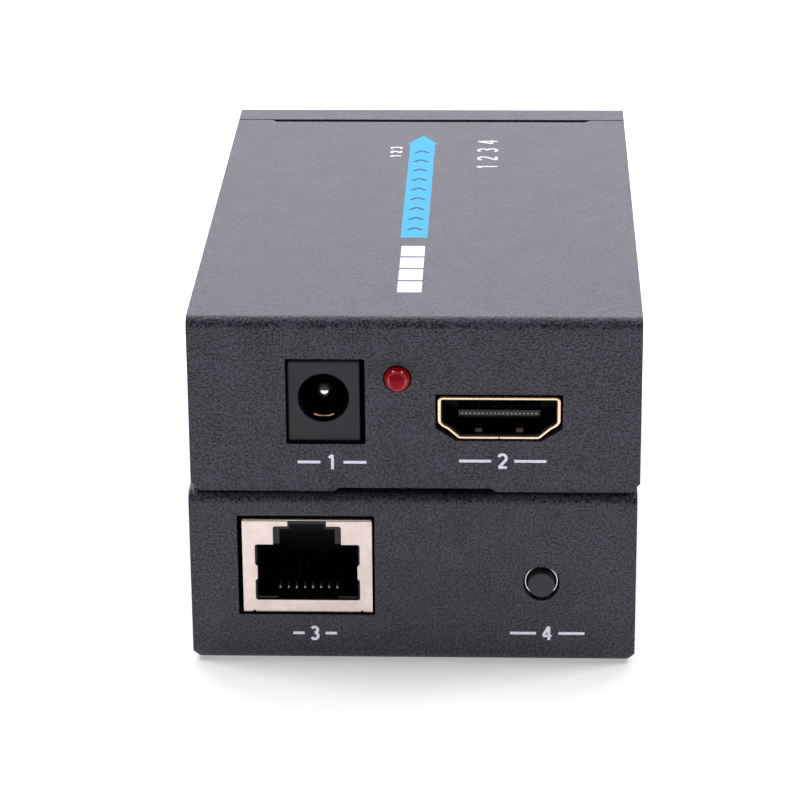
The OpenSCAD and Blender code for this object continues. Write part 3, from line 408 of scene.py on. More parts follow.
class Graph:
    """Node tree of one material."""

    def __init__(self, name: str) -> None:
        """Starts an empty material that reads places on the piece itself.

        Args:
            name: Name of the material.
        """
        self.material = bpy.data.materials.new(name)
        self.material.use_nodes = True
        self.tree = self.material.node_tree
        self.tree.nodes.clear()
        self.place = self.node("ShaderNodeTexCoord", {}).outputs["Object"]

    def node(self, kind: str, sockets: Mapping[str | int, object],
             **settings: object) -> bpy.types.Node:
        """Adds a node.

        Args:
            kind: Type of the node.
            sockets: Values or links for its inputs, by name or number.
            settings: Properties of the node.

        Returns:
            The node.
        """
        made = self.tree.nodes.new(kind)
        for key, value in settings.items():
            setattr(made, key, value)
        for key, value in sockets.items():
            if isinstance(value, bpy.types.NodeSocket):
                self.tree.links.new(value, made.inputs[key])
            else:
                made.inputs[key].default_value = value
        return made

    def stretched(self, x: float, y: float, z: float) -> bpy.types.NodeSocket:
        """Places scaled along each axis, for streaks."""
        return self.node("ShaderNodeMapping", {"Vector": self.place, "Scale": (x, y, z)}).outputs[0]

    def noise(self, size: float, detail: float = 2.0, rough: float = 0.5,
              place: bpy.types.NodeSocket | None = None) -> bpy.types.NodeSocket:
        """Cloudy noise.

        Args:
            size: Size of its largest forms in millimetres.
            detail: Number of finer layers.
            rough: Strength of the finer layers.
            place: Places to read instead of the piece's own.

        Returns:
            Its value.
        """
        place = place or self.place
        sockets = {"Vector": place, "Scale": PER_METRE / size, "Detail": detail, "Roughness": rough}
        return self.node("ShaderNodeTexNoise", sockets).outputs[0]

    def spread(self, value: bpy.types.NodeSocket, low: float, high: float,
               least: float = 0.3, most: float = 0.7) -> bpy.types.NodeSocket:
        """Maps a value between two limits to two others.

        Args:
            value: The value.
            low: Result at the lower limit.
            high: Result at the upper limit.
            least: Lower limit.
            most: Upper limit.

        Returns:
            The mapped value.
        """
        sockets = {"Value": value, "From Min": least, "From Max": most, "To Min": low, "To Max": high}
        return self.node("ShaderNodeMapRange", sockets).outputs[0]

    def blend(self, share: bpy.types.NodeSocket, first: object,
              second: object) -> bpy.types.NodeSocket:
        """Mixes two colours by a share."""
        sockets = {0: share, 6: first, 7: second}
        return self.node("ShaderNodeMix", sockets, data_type="RGBA").outputs[2]

    def combine(self, operation: str, first: object, second: object) -> bpy.types.NodeSocket:
        """Result of an arithmetic step on two values."""
        return self.node("ShaderNodeMath", {0: first, 1: second}, operation=operation).outputs[0]

    def flecks(self, size: float, radius: float, share: float) -> bpy.types.NodeSocket:
        """Sparse round flecks.

        Space is divided into cells; a cell whose random value is above one less the share gets a
        fleck where the distance to its point is below the radius.

        Args:
            size: Distance between cells in millimetres.
            radius: Radius of a fleck as a share of a cell.
            share: Share of the cells that hold a fleck.

        Returns:
            One in a fleck and nought elsewhere.
        """
        cells = self.node("ShaderNodeTexVoronoi", {"Vector": self.place, "Scale": PER_METRE / size})
        near = self.combine("LESS_THAN", cells.outputs["Distance"], radius)
        chance = self.node("ShaderNodeSeparateColor", {0: cells.outputs["Color"]}).outputs[0]
        return self.combine("MULTIPLY", near, self.combine("GREATER_THAN", chance, 1 - share))

    def bump(self, height: bpy.types.NodeSocket, depth: float,
             strength: float = 1.0) -> bpy.types.NodeSocket:
        """Normal of a relief with a depth in millimetres."""
        sockets = {"Height": height, "Distance": depth * MM, "Strength": strength}
        return self.node("ShaderNodeBump", sockets).outputs[0]

    def finish(self, sockets: Mapping[str, object]) -> bpy.types.Material:
        """Closes the tree with one shader.

        Args:
            sockets: Values or links for the shader's inputs.

        Returns:
            The material.
        """
        shader = self.node("ShaderNodeBsdfPrincipled", sockets)
        self.node("ShaderNodeOutputMaterial", {"Surface": shader.outputs[0]})
        return self.material


@dataclass(frozen=True)
class PowderCoat:
    """Fine wrinkle powder coat with sparse bright flecks; the dark pits and light crests of its grain
    in the colour are painted shade and painted light.
    """

    # low and high: painted shade in the grain's pits and painted light on its crests
    low: Colour = linear(8, 7, 11)
    high: Colour = linear(77, 74, 88)
    fleck: Colour = linear(170, 170, 178)
    grain: float = 0.27
    relief: float = 0.14
    pit_shade_contrast: tuple[float, float] = (0.37, 0.62)
    rough: tuple[float, float] = (0.38, 0.53)
    cloud: float = 4.0
    cloud_share: float = 0.03
    fleck_step: float = 0.5
    fleck_size: float = 0.12
    fleck_share: float = 0.018

    def material(self, name: str) -> bpy.types.Material:
        """Builds the material's nodes.

        Args:
            name: Name of the material.

        Returns:
            The material.
        """
        graph = Graph(name)
        grain = graph.noise(self.grain, 1.0, 0.5)
        cloud = graph.spread(graph.noise(self.cloud, 2.0), -self.cloud_share, self.cloud_share)
        # Painted shade and light of the wrinkle relief: the same grain that drives the bump darkens
        # the colour in its pits and lightens it on its crests.
        pit_shade_tone = graph.spread(graph.combine("ADD", grain, cloud), 0.0, 1.0, *self.pit_shade_contrast)
        flecks = graph.flecks(self.fleck_step, self.fleck_size, self.fleck_share)
        colour = graph.blend(flecks, graph.blend(pit_shade_tone, self.low, self.high), self.fleck)
        return graph.finish({
            "Base Color": colour,
            "Roughness": graph.spread(grain, *self.rough),
            "Normal": graph.bump(grain, self.relief),
            "Specular IOR Level": 0.5,
        })


@dataclass(frozen=True)
class MouldedPlastic:
    """Moulded plastic with a fine eroded skin."""

    low: Colour = linear(46, 46, 51)
    high: Colour = linear(58, 58, 63)
    gloss: float = 0.42
    grain: float = 0.22
    relief: float = 0.008
    cloud: float = 3.0

    def material(self, name: str) -> bpy.types.Material:
        """Builds the material's nodes.

        Args:
            name: Name of the material.

        Returns:
            The material.
        """
        graph = Graph(name)
        grain = graph.noise(self.grain, 2.0)
        cloud = graph.noise(self.cloud, 3.0)
        return graph.finish({
            "Base Color": graph.blend(graph.spread(cloud, 0.0, 1.0), self.low, self.high),
            "Roughness": graph.spread(cloud, self.gloss - 0.05, self.gloss + 0.08),
            "Normal": graph.bump(grain, self.relief),
        })


@dataclass(frozen=True)
class Plating:
    """Plated or bare metal with drawn streaks and a faint cloud of tarnish."""

    low: Colour
    high: Colour
    gloss: float = 0.3
    streak: float = 0.15
    relief: float = 0.002
    stretch: float = 0.12
    cloud: float = 2.2

    def material(self, name: str) -> bpy.types.Material:
        """Builds the material's nodes.

        Args:
            name: Name of the material.

        Returns:
            The material.
        """
        graph = Graph(name)
        along = graph.stretched(1.0, self.stretch, 1.0)
        streaks = graph.noise(self.streak, 3.0, 0.6, along)
        cloud = graph.noise(self.cloud, 4.0, 0.55)
        return graph.finish({
            "Base Color": graph.blend(graph.spread(cloud, 0.0, 1.0), self.low, self.high),
            "Metallic": 1.0,
            "Roughness": graph.spread(streaks, self.gloss - 0.05, self.gloss + 0.08),
            "Normal": graph.bump(streaks, self.relief),
        })


@dataclass(frozen=True)
class LensPlastic:
    """Clear red lens plastic with bands painted to stand in for its refraction: a deep red core, a
    paler ring round it that is a painted highlight, and a bright red rim.

    The bands follow the attribute share, a point's distance from the lens's axis over the radius.
    """

    core: Colour = linear(158, 22, 28)
    # paler pink of the painted highlight ring
    ring: Colour = linear(212, 88, 100)
    rim: Colour = linear(188, 12, 18)
    highlight_ring_at: float = 0.72
    highlight_ring_half: float = 0.1
    shine: float = 0.5
    cloud: float = 0.7

    def material(self, name: str) -> bpy.types.Material:
        """Builds the material's nodes.

        Args:
            name: Name of the material.

        Returns:
            The material.
        """
        graph = Graph(name)
        cloud = graph.noise(self.cloud, 3.0)
        share = graph.node("ShaderNodeAttribute", {}, attribute_name="share").outputs["Fac"]
        wavy = graph.combine("ADD", share, graph.spread(cloud, -0.05, 0.05))
        near, far = self.highlight_ring_at - self.highlight_ring_half, self.highlight_ring_at + self.highlight_ring_half
        outer = graph.spread(wavy, 0.0, 1.0, near, far)
        away = graph.combine("ABSOLUTE", graph.combine("SUBTRACT", wavy, self.highlight_ring_at), 0.0)
        # painted highlight: a paler band round the core
        ring = graph.spread(away, 0.7, 0.0, 0.0, self.highlight_ring_half)
        base = graph.blend(outer, self.core, self.rim)
        return graph.finish({
            "Base Color": graph.blend(ring, base, self.ring),
            "Roughness": graph.spread(cloud, 0.07, 0.13),
            "Specular IOR Level": self.shine,
        })


@dataclass(frozen=True)
class SolderMask:
    """Circuit board lacquer over faint copper tracks."""

    lacquer: Colour = linear(16, 74, 44)
    track: Colour = linear(34, 108, 62)
    scale: float = 420.0
    joint: float = 0.06
    relief: float = 0.02

    def material(self, name: str) -> bpy.types.Material:
        """Builds the material's nodes.

        Args:
            name: Name of the material.

        Returns:
            The material.
        """
        graph = Graph(name)
        bands = graph.node("ShaderNodeTexBrick", {
            "Vector": graph.place,
            "Scale": self.scale,
            "Mortar Size": self.joint,
            "Mortar Smooth": 0.3,
            "Color1": (0.0, 0.0, 0.0, 1.0),
            "Color2": (0.1, 0.1, 0.1, 1.0),
            "Mortar": (1.0, 1.0, 1.0, 1.0),
        }).outputs[0]
        return graph.finish({
            "Base Color": graph.blend(bands, self.lacquer, self.track),
            "Roughness": graph.spread(graph.noise(2.5), 0.22, 0.36),
            "Normal": graph.bump(bands, self.relief, 0.5),
        })


@dataclass(frozen=True)
class PrintInk:
    """Screen-printed ink that takes on the coat's grain, and can glow a little as painted light."""

    low: Colour
    high: Colour
    shine: float = 0.5
    relief: float = 0.03
    painted_glow: float = 0.0
    grain: float = 0.38

    def material(self, name: str) -> bpy.types.Material:
        """Builds the material's nodes.

        Args:
            name: Name of the material.

        Returns:
            The material.
        """
        graph = Graph(name)
        grain = graph.noise(self.grain, 1.5, 0.5)
        return graph.finish({
            "Base Color": graph.blend(graph.spread(grain, 0.0, 1.0), self.low, self.high),
            "Roughness": graph.spread(grain, 0.5, 0.64),
            "Normal": graph.bump(grain, self.relief),
            "Specular IOR Level": self.shine,
            "Emission Color": self.high,
            "Emission Strength": self.painted_glow,
        })


Finish = PowderCoat | MouldedPlastic | Plating | LensPlastic | SolderMask | PrintInk

FINISHES: dict[str, Finish] = {
    "case_paint": PowderCoat(),
    "steel": Plating(linear(176, 176, 178), linear(204, 204, 206), 0.34),
    "dark_steel": Plating(linear(54, 54, 58), linear(78, 78, 82), 0.36),
    "board_green": SolderMask(),
    "black_plastic": MouldedPlastic(),
    "button_plastic": MouldedPlastic(linear(44, 43, 50), linear(54, 53, 60), 0.5, 0.18, 0.012),
    "bright_nickel": Plating(linear(214, 208, 200), linear(236, 230, 222), 0.16),
    "satin_nickel": Plating(linear(214, 198, 189), linear(232, 217, 208), 0.3),
    "contact_bronze": Plating(linear(170, 118, 72), linear(206, 158, 110), 0.3),
    "contact_gold": Plating(linear(222, 184, 112), linear(248, 216, 150), 0.24),
    "gold_plate": Plating(linear(236, 208, 164), linear(252, 232, 196), 0.24),
    "tinned_wire": Plating(linear(190, 190, 192), linear(220, 220, 222), 0.3),
    # red lens: bands of painted refraction with a painted highlight ring
    "red_lens": LensPlastic(),
    "chip_resin": MouldedPlastic(linear(30, 30, 33), linear(44, 44, 47), 0.55, 0.15, 0.01),
    "can_aluminium": Plating(linear(188, 188, 192), linear(222, 222, 226), 0.3),
    "ceramic": MouldedPlastic(linear(150, 118, 84), linear(196, 168, 132), 0.4),
    "ferrite": MouldedPlastic(linear(50, 48, 48), linear(70, 66, 64), 0.6, 0.3, 0.02),
    "jack_plastic": MouldedPlastic(linear(24, 24, 32), linear(36, 36, 46), 0.5, 0.2, 0.02),
    "leaf_bronze": Plating(linear(176, 142, 114), linear(204, 172, 146), 0.2, 0.15, 0.0005),
    "socket_black": MouldedPlastic(linear(16, 16, 19), linear(26, 26, 30), 0.45),
    "contact_grey": Plating(linear(112, 112, 120), linear(140, 140, 148), 0.3, 0.15, 0.0005),
    "wire_grey": Plating(linear(168, 164, 156), linear(196, 192, 184), 0.1, 0.15, 0.0002),
    "shaded_steel": Plating(linear(22, 22, 24), linear(34, 34, 37), 0.4),
    "rim_bright": Plating(linear(240, 240, 242), linear(252, 252, 252), 0.12, 0.15, 0.0005),
    # the same painted bands with little shine, for the lens's middle
    "lens_core": LensPlastic(shine=0.08),
    # The white ink's glow is painted light that makes it brighter than the lamps alone do.
    "white_ink": PrintInk(linear(206, 206, 222), linear(234, 234, 250), painted_glow=0.26),
    "blue_ink": PrintInk(linear(34, 168, 222), linear(48, 182, 236), 0.2),
    "dark_ink": PrintInk(linear(14, 44, 84), linear(22, 58, 104), 0.2),
}

LOOKS = {
    "power_jack": "jack_plastic",
    "power_spring": "leaf_bronze",
    "av_insulator": "socket_black",
    "av_contacts": "contact_grey",
    "lan_housing": "socket_black",
    "lan_contacts": "wire_grey",
    "switch_plate": "shaded_steel",
}


class Palette:
    """All materials of the object, made once."""

    def __init__(self, finishes: Mapping[str, Finish]) -> None:
        """Makes one material for each finish.

        Args:
            finishes: The finishes by name.
        """
        self.materials = {name: kind.material(f"{name}_look") for name, kind in finishes.items()}

    def dress(self, piece: bpy.types.Object, name: str) -> None:
        """Gives a whole piece one material.

        Args:
            piece: The piece.
            name: Name of the finish.
        """
        piece.data.materials.clear()
        piece.data.materials.append(self.materials[name])

    def dress_nodes(self, nodes: Mapping[str, bpy.types.Object]) -> None:
        """Gives each CAD node the material of its own slot.

        Args:
            nodes: The CAD nodes by name.
        """
        for node in nodes.values():
            for slot in node.material_slots:
                slot.material = self.materials[slot.material.name.removesuffix("_look")]


# Pieces

EDGE_ANGLE = 32.0
FLAT_ANGLE = 0.5
PATCH_MERGE = 2e-7
CAD_MERGE = 1.5e-6
Reshape = Callable[[np.ndarray], np.ndarray]


@dataclass
class Assembly:
    """A sub-assembly of one box: it makes its pieces and keeps them, so that each can be logged."""

    seat: Seat
    palette: Palette
    made: list[bpy.types.Object] = field(default_factory=list, init=False)

    def keep(self, mesh: bpy.types.Mesh, name: str, finish: str,
             edge: float = 0.0) -> bpy.types.Object:
        """Turns a finished mesh into a piece that rides on the box.

        Args:
            mesh: The mesh, with its place in its points.
            name: Name of the piece without the box's name.
            finish: Name of its finish.
            edge: Width in millimetres of the softening that an edge of weight one gets, or nought.

        Returns:
            The piece.
        """
        mesh.polygons.foreach_set("use_smooth", np.ones(len(mesh.polygons), bool))
        mesh.set_sharp_from_angle(angle=math.radians(EDGE_ANGLE))
        piece = bpy.data.objects.new(self.seat.node(name), mesh)
        bpy.context.scene.collection.objects.link(piece)
        if edge:
            bevel = piece.modifiers.new("softened_edges", "BEVEL")
            bevel.width = edge * MM
            bevel.segments = 2
            bevel.limit_method = "WEIGHT"
            bevel.use_clamp_overlap = False
            bevel.harden_normals = True
        self.palette.dress(piece, finish)
        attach(piece, self.seat.name)
        self.made.append(piece)
        return piece

    def shape(self, patch: Patch, name: str, finish: str, end: End) -> bpy.types.Object:
        """Makes a piece of a patch.

        Args:
            patch: The patch in the end panel's axes.
            name: Name of the piece without the box's name.
            finish: Name of its finish.
            end: The panel it belongs to.

        Returns:
            The piece.
        """
        mesh = bpy.data.meshes.new(self.seat.node(name))
        mesh.from_pydata(self.seat.to_frame(patch.points, end).tolist(), [], patch.faces)
        work = bmesh.new()
        work.from_mesh(mesh)
        bmesh.ops.remove_doubles(work, verts=work.verts, dist=PATCH_MERGE)
        bmesh.ops.recalc_face_normals(work, faces=work.faces)
        work.to_mesh(mesh)
        work.free()
        return self.keep(mesh, name, finish)

    def slot_of(self, node: str) -> str:
        """Name of the record's slot that a CAD node has."""
        source = frame["nodes"][self.seat.node(node)]
        return source.material_slots[0].material.name.removesuffix("_look")

    def stand_in(self, patch: Patch, node: str, end: End) -> bpy.types.Object:
        """Makes a piece that stands for a CAD node and takes its finish.

        Args:
            patch: The patch in the end panel's axes.
            node: Name of the node without the box's name.
            end: The panel it belongs to.

        Returns:
            The piece.
        """
        slot = self.slot_of(node)
        piece = self.shape(patch, f"{node}_look", LOOKS.get(node, slot), end)
        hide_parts(self.seat.node(node))
        return piece

    def softened_copy(self, node: str, edge: float, shortest: float = 0.0,
                      end: End = End.POWER, reshape: Reshape | None = None,
                      weigh: Reshape | None = None) -> bpy.types.Object:
        """Copies a CAD node's mesh, joins its triangles into whole faces and softens its edges.

        Args:
            node: Name of the node without the box's name.
            edge: Width of the softened edges in millimetres, or nought.
            shortest: Length in millimetres below which an edge is left sharp.
            end: The panel in whose axes the next two work.
            reshape: Moves the copy's points.
            weigh: Gives each edge's share of the width, from the edge's middle.

        Returns:
            The piece that stands for the node.
        """
        source = frame["nodes"][self.seat.node(node)]
        slot = self.slot_of(node)
        work = bmesh.new()
        work.from_mesh(source.data)
        bmesh.ops.remove_doubles(work, verts=work.verts, dist=CAD_MERGE)
        flat = math.radians(FLAT_ANGLE)
        bmesh.ops.dissolve_limit(work, angle_limit=flat, verts=work.verts, edges=work.edges)
        merged = bpy.data.meshes.new("merged")
        work.to_mesh(merged)
        work.free()
        points = mesh_points(merged)
        faces = [list(face.vertices) for face in merged.polygons]
        bpy.data.meshes.remove(merged)
        if reshape:
            points = self.seat.to_frame(reshape(self.seat.from_frame(points, end)), end)
        mesh = bpy.data.meshes.new(self.seat.node(f"{node}_look"))
        mesh.from_pydata(points.tolist(), [], faces)
        self.weigh_edges(mesh, shortest, end, weigh)
        piece = self.keep(mesh, f"{node}_look", LOOKS.get(node, slot), edge)
        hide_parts(self.seat.node(node))
        return piece

    def weigh_edges(self, mesh: bpy.types.Mesh, shortest: float, end: End,
                    weigh: Reshape | None) -> None:
        """Stores how much each edge is softened: nought where it is flat or too short.

        Args:
            mesh: The mesh.
            shortest: Length in millimetres below which an edge is left sharp.
            end: The panel in whose axes the shares are given.
            weigh: Gives each edge's share from its middle, or all get one.
        """
        work = bmesh.new()
        work.from_mesh(mesh)
        bend = np.array([edge.calc_face_angle(0.0) for edge in work.edges])
        work.free()
        pairs = np.empty(2 * len(mesh.edges), int)
        mesh.edges.foreach_get("vertices", pairs)
        ends = mesh_points(mesh)[pairs.reshape(-1, 2)]
        length = np.linalg.norm(ends[:, 1] - ends[:, 0], axis=1)
        weight = ((bend > math.radians(EDGE_ANGLE)) & (length > shortest * MM)).astype(float)
        if weigh:
            weight *= weigh(self.seat.from_frame(ends.mean(axis=1), end))
        mesh.attributes.new("bevel_weight_edge", "FLOAT", "EDGE").data.foreach_set("value", weight)

    def build(self) -> None:
        """Makes the sub-assembly's pieces."""
        raise NotImplementedError


@dataclass
class CaseShell(Assembly):
    """Folded tray and cover, the flush side screws and the standoffs' ends."""

    sheet_edge: float = 0.06
    shortest: float = 0.15
    screw_edge: float = 0.08
    standoff_edge: float = 0.05
    sheet: float = 1.0
    jack_cut_corner: tuple[float, float] = (-6.75, -6.1)
    jack_cut_span: tuple[float, float] = (6.0, 18.0)
    jack_cut_out: float = 0.2
    hole: tuple[float, float] = (-2.05, 15.1)
    hole_reach: float = 1.8
    hole_drop: float = 0.18

    def fitted(self, points: np.ndarray) -> np.ndarray:
        """Fits two cut-outs of the power end: the jack's right side out, the indicator's hole down.

        Args:
            points: Points of the cover in the power end's axes.

        Returns:
            The points, of which those of the two cut-outs are moved.
        """
        across, depth, up = points.T
        sheet = depth < self.sheet + 0.05
        side = sheet & (across > self.jack_cut_corner[0]) & (across < self.jack_cut_corner[1])
        side &= (up > self.jack_cut_span[0]) & (up < self.jack_cut_span[1])
        hole = sheet & (np.hypot(across - self.hole[0], up - self.hole[1]) < self.hole_reach)
        step = np.stack([self.jack_cut_out * side, 0.0 * depth, -self.hole_drop * hole], axis=-1)
        return points + step

    def build(self) -> None:
        """Softens the sheets' cut edges and the screws' rims."""
        self.softened_copy("base_tray", self.sheet_edge, self.shortest)
        self.softened_copy("cover", self.sheet_edge, self.shortest, reshape=self.fitted)
        self.softened_copy("side_screws", self.screw_edge)
        self.softened_copy("standoffs", self.standoff_edge)


@dataclass
class PowerJack(Assembly):
    """Barrel jack: moulded body, centre pin and leaf contact."""

    across: float = -11.055
    axis: float = 12.18
    set_back: float = 0.6
    mouth: float = 3.4
    under: float = 6.6
    top: float = 17.15
    bore: float = 3.12
    body_edge: float = 0.5
    shortest: float = 0.1
    side_share: float = 0.68
    fine_share: float = 0.14
    bore_margin: float = 0.3
    mouth_margin: float = 0.1
    top_margin: float = 0.05
    drop: float = 0.23
    leaf_radius: float = 2.6
    leaf_thick: float = 0.24
    leaf_half: float = 27.0
    leaf_front: float = 0.8
    leaf_nose: float = 0.05
    leaf_even: float = 1.2
    leaf_back: float = 9.6
    strip_width: float = 2.4
    strip_thick: float = 0.3
    strip_overlap: float = 0.6
    strip_start: float = -3.02
    strip_level: float = -3.3
    strip_bend: float = 0.5
    leg_depth: float = 12.7
    leg_low: float = -8.28

    def lowered(self, points: np.ndarray) -> np.ndarray:
        """Draws the mouth's underside down.

        The drop is full at the face and fades evenly to nothing at the mouth's back.

        Args:
            points: Points of the body in the power end's axes.

        Returns:
            The points, of which those of the underside are moved.
        """
        share = np.clip(1 - (points[:, 1] - self.set_back) / self.mouth, 0, 1)
        share *= points[:, 2] < self.under + 0.01
        return points - share[:, None] * (0, 0, self.drop)

    def edge_shares(self, middles: np.ndarray) -> np.ndarray:
        """Softening of the body's edges: wide at the face's top, narrow at the bore and behind.

        Args:
            middles: Middles of the edges in the power end's axes.

        Returns:
            Each edge's share of the full width.
        """
        across, depth, up = middles.T
        bore = np.hypot(across - self.across, up - self.axis) < self.bore + self.bore_margin
        behind = depth > self.set_back + self.mouth - self.mouth_margin
        face = np.where(up > self.top - self.top_margin, 1.0, self.side_share)
        return np.where(bore | behind, self.fine_share, face)

    def trough(self) -> Patch:
        """Leaf that lies in the bore's floor: an arc about the pin's axis, carried along the depth.

        A point's angle runs across the arc, its radius is the leaf's middle radius plus or minus half
        the thickness, and at the front both edges are rounded by a quarter circle.

        Returns:
            The closed leaf.
        """
        half = self.leaf_thick / 2
        nose = np.radians(np.linspace(0, 90, 4))
        even = np.linspace(self.leaf_even, self.leaf_back, 8)
        depth = np.concatenate([self.leaf_front + self.leaf_nose * (1 - np.cos(nose)), even])
        thick = np.concatenate([half - self.leaf_nose * (1 - np.sin(nose)), np.full(8, half)])
        angle = np.radians(np.linspace(-self.leaf_half, self.leaf_half, 15))
        middle = self.leaf_radius + half
        thick = np.repeat(thick[:, None], len(angle), axis=1)
        radius = np.hstack([middle - thick, middle + thick])
        angle = np.concatenate([angle, angle[::-1]])
        deep = np.broadcast_to(depth[:, None], radius.shape)
        points = np.stack([radius * np.sin(angle), deep, -radius * np.cos(angle)], axis=-1)
        return Patch.grid(points, caps=True)

    def strip(self) -> Patch:
        """Strip from the leaf's end to a bend, and its leg down through the board.

        Its path is five corners in depth and height, rounded by the strip's thickness.

        Returns:
            The closed strip.
        """
        path = np.array([
            [self.leaf_back - self.strip_overlap, self.strip_start],
            [self.leaf_back + self.strip_overlap, self.strip_level],
            [self.leg_depth - self.strip_bend, self.strip_level],
            [self.leg_depth, self.strip_level - self.strip_bend],
            [self.leg_depth, self.leg_low],
        ])
        path = softened(path, self.strip_thick, 5, closed=False)
        return leaf(path, self.strip_width, self.strip_thick)

    def build(self) -> None:
        """Softens the moulded body and the pin, and makes the leaf with its strip."""
        self.softened_copy("power_jack", self.body_edge, self.shortest, reshape=self.lowered,
                           weigh=self.edge_shares)
        self.softened_copy("power_pin", 0.0)
        spring = Patch.joined([self.trough(), self.strip()])
        spring = spring.moved(self.across, self.set_back, self.axis)
        self.stand_in(spring, "power_spring", End.POWER)


@dataclass
class Indicator(Assembly):
    """Red lens with a dome, a straight body and a flange."""

    across: float = -2.05
    up: float = 14.92
    radius: float = 1.57
    proud: float = 1.45
    length: float = 3.4
    flange_radius: float = 1.9
    flange: float = 1.0
    edge: float = 0.1
    core_share: float = 0.55

    def profile(self) -> np.ndarray:
        """Radius and depth of the lens: a quarter circle, a straight body and a flange.

        Returns:
            Rows of radius and depth from the dome's pole to the middle of the foot.
        """
        centre = self.radius - self.proud
        dome = quarter((0.0, centre), self.radius, -90, 0, 28)
        step = self.length - self.flange
        foot = np.array([
            [self.radius, step - self.edge],
            [self.radius + self.edge / 2, step],
            [self.flange_radius - self.edge, step],
            [self.flange_radius, step + self.edge],
            [self.flange_radius, self.length - self.edge],
            [self.flange_radius - self.edge, self.length],
            [0.0, self.length],
        ])
        return np.vstack([dome, foot])

    def band(self, piece: bpy.types.Object) -> None:
        """Stores each point's distance from the axis as a share of the radius, which places the lens's
        painted bands, and marks the core.

        The core is made of the faces whose greatest share, plus one behind the panel's face, is small.

        Args:
            piece: The lens.
        """
        mesh = piece.data
        away = self.seat.from_frame(mesh_points(mesh)) - (self.across, 0, self.up)
        share = np.hypot(away[:, 0], away[:, 2]) / self.radius
        mesh.attributes.new("share", "FLOAT", "POINT").data.foreach_set("value", share)
        corners = np.empty(len(mesh.loops), int)
        mesh.loops.foreach_get("vertex_index", corners)
        starts = np.empty(len(mesh.polygons), int)
        mesh.polygons.foreach_get("loop_start", starts)
        front = np.maximum.reduceat((share + (away[:, 1] > 0))[corners], starts)
        mesh.materials.append(self.palette.materials["lens_core"])
        mesh.polygons.foreach_set("material_index", (front < self.core_share).astype(int))

    def build(self) -> None:
        """Turns the lens."""
        lens = turned_profile(self.profile()).moved(self.across, 0.0, self.up)
        self.band(self.stand_in(lens, "led_lens", End.POWER))


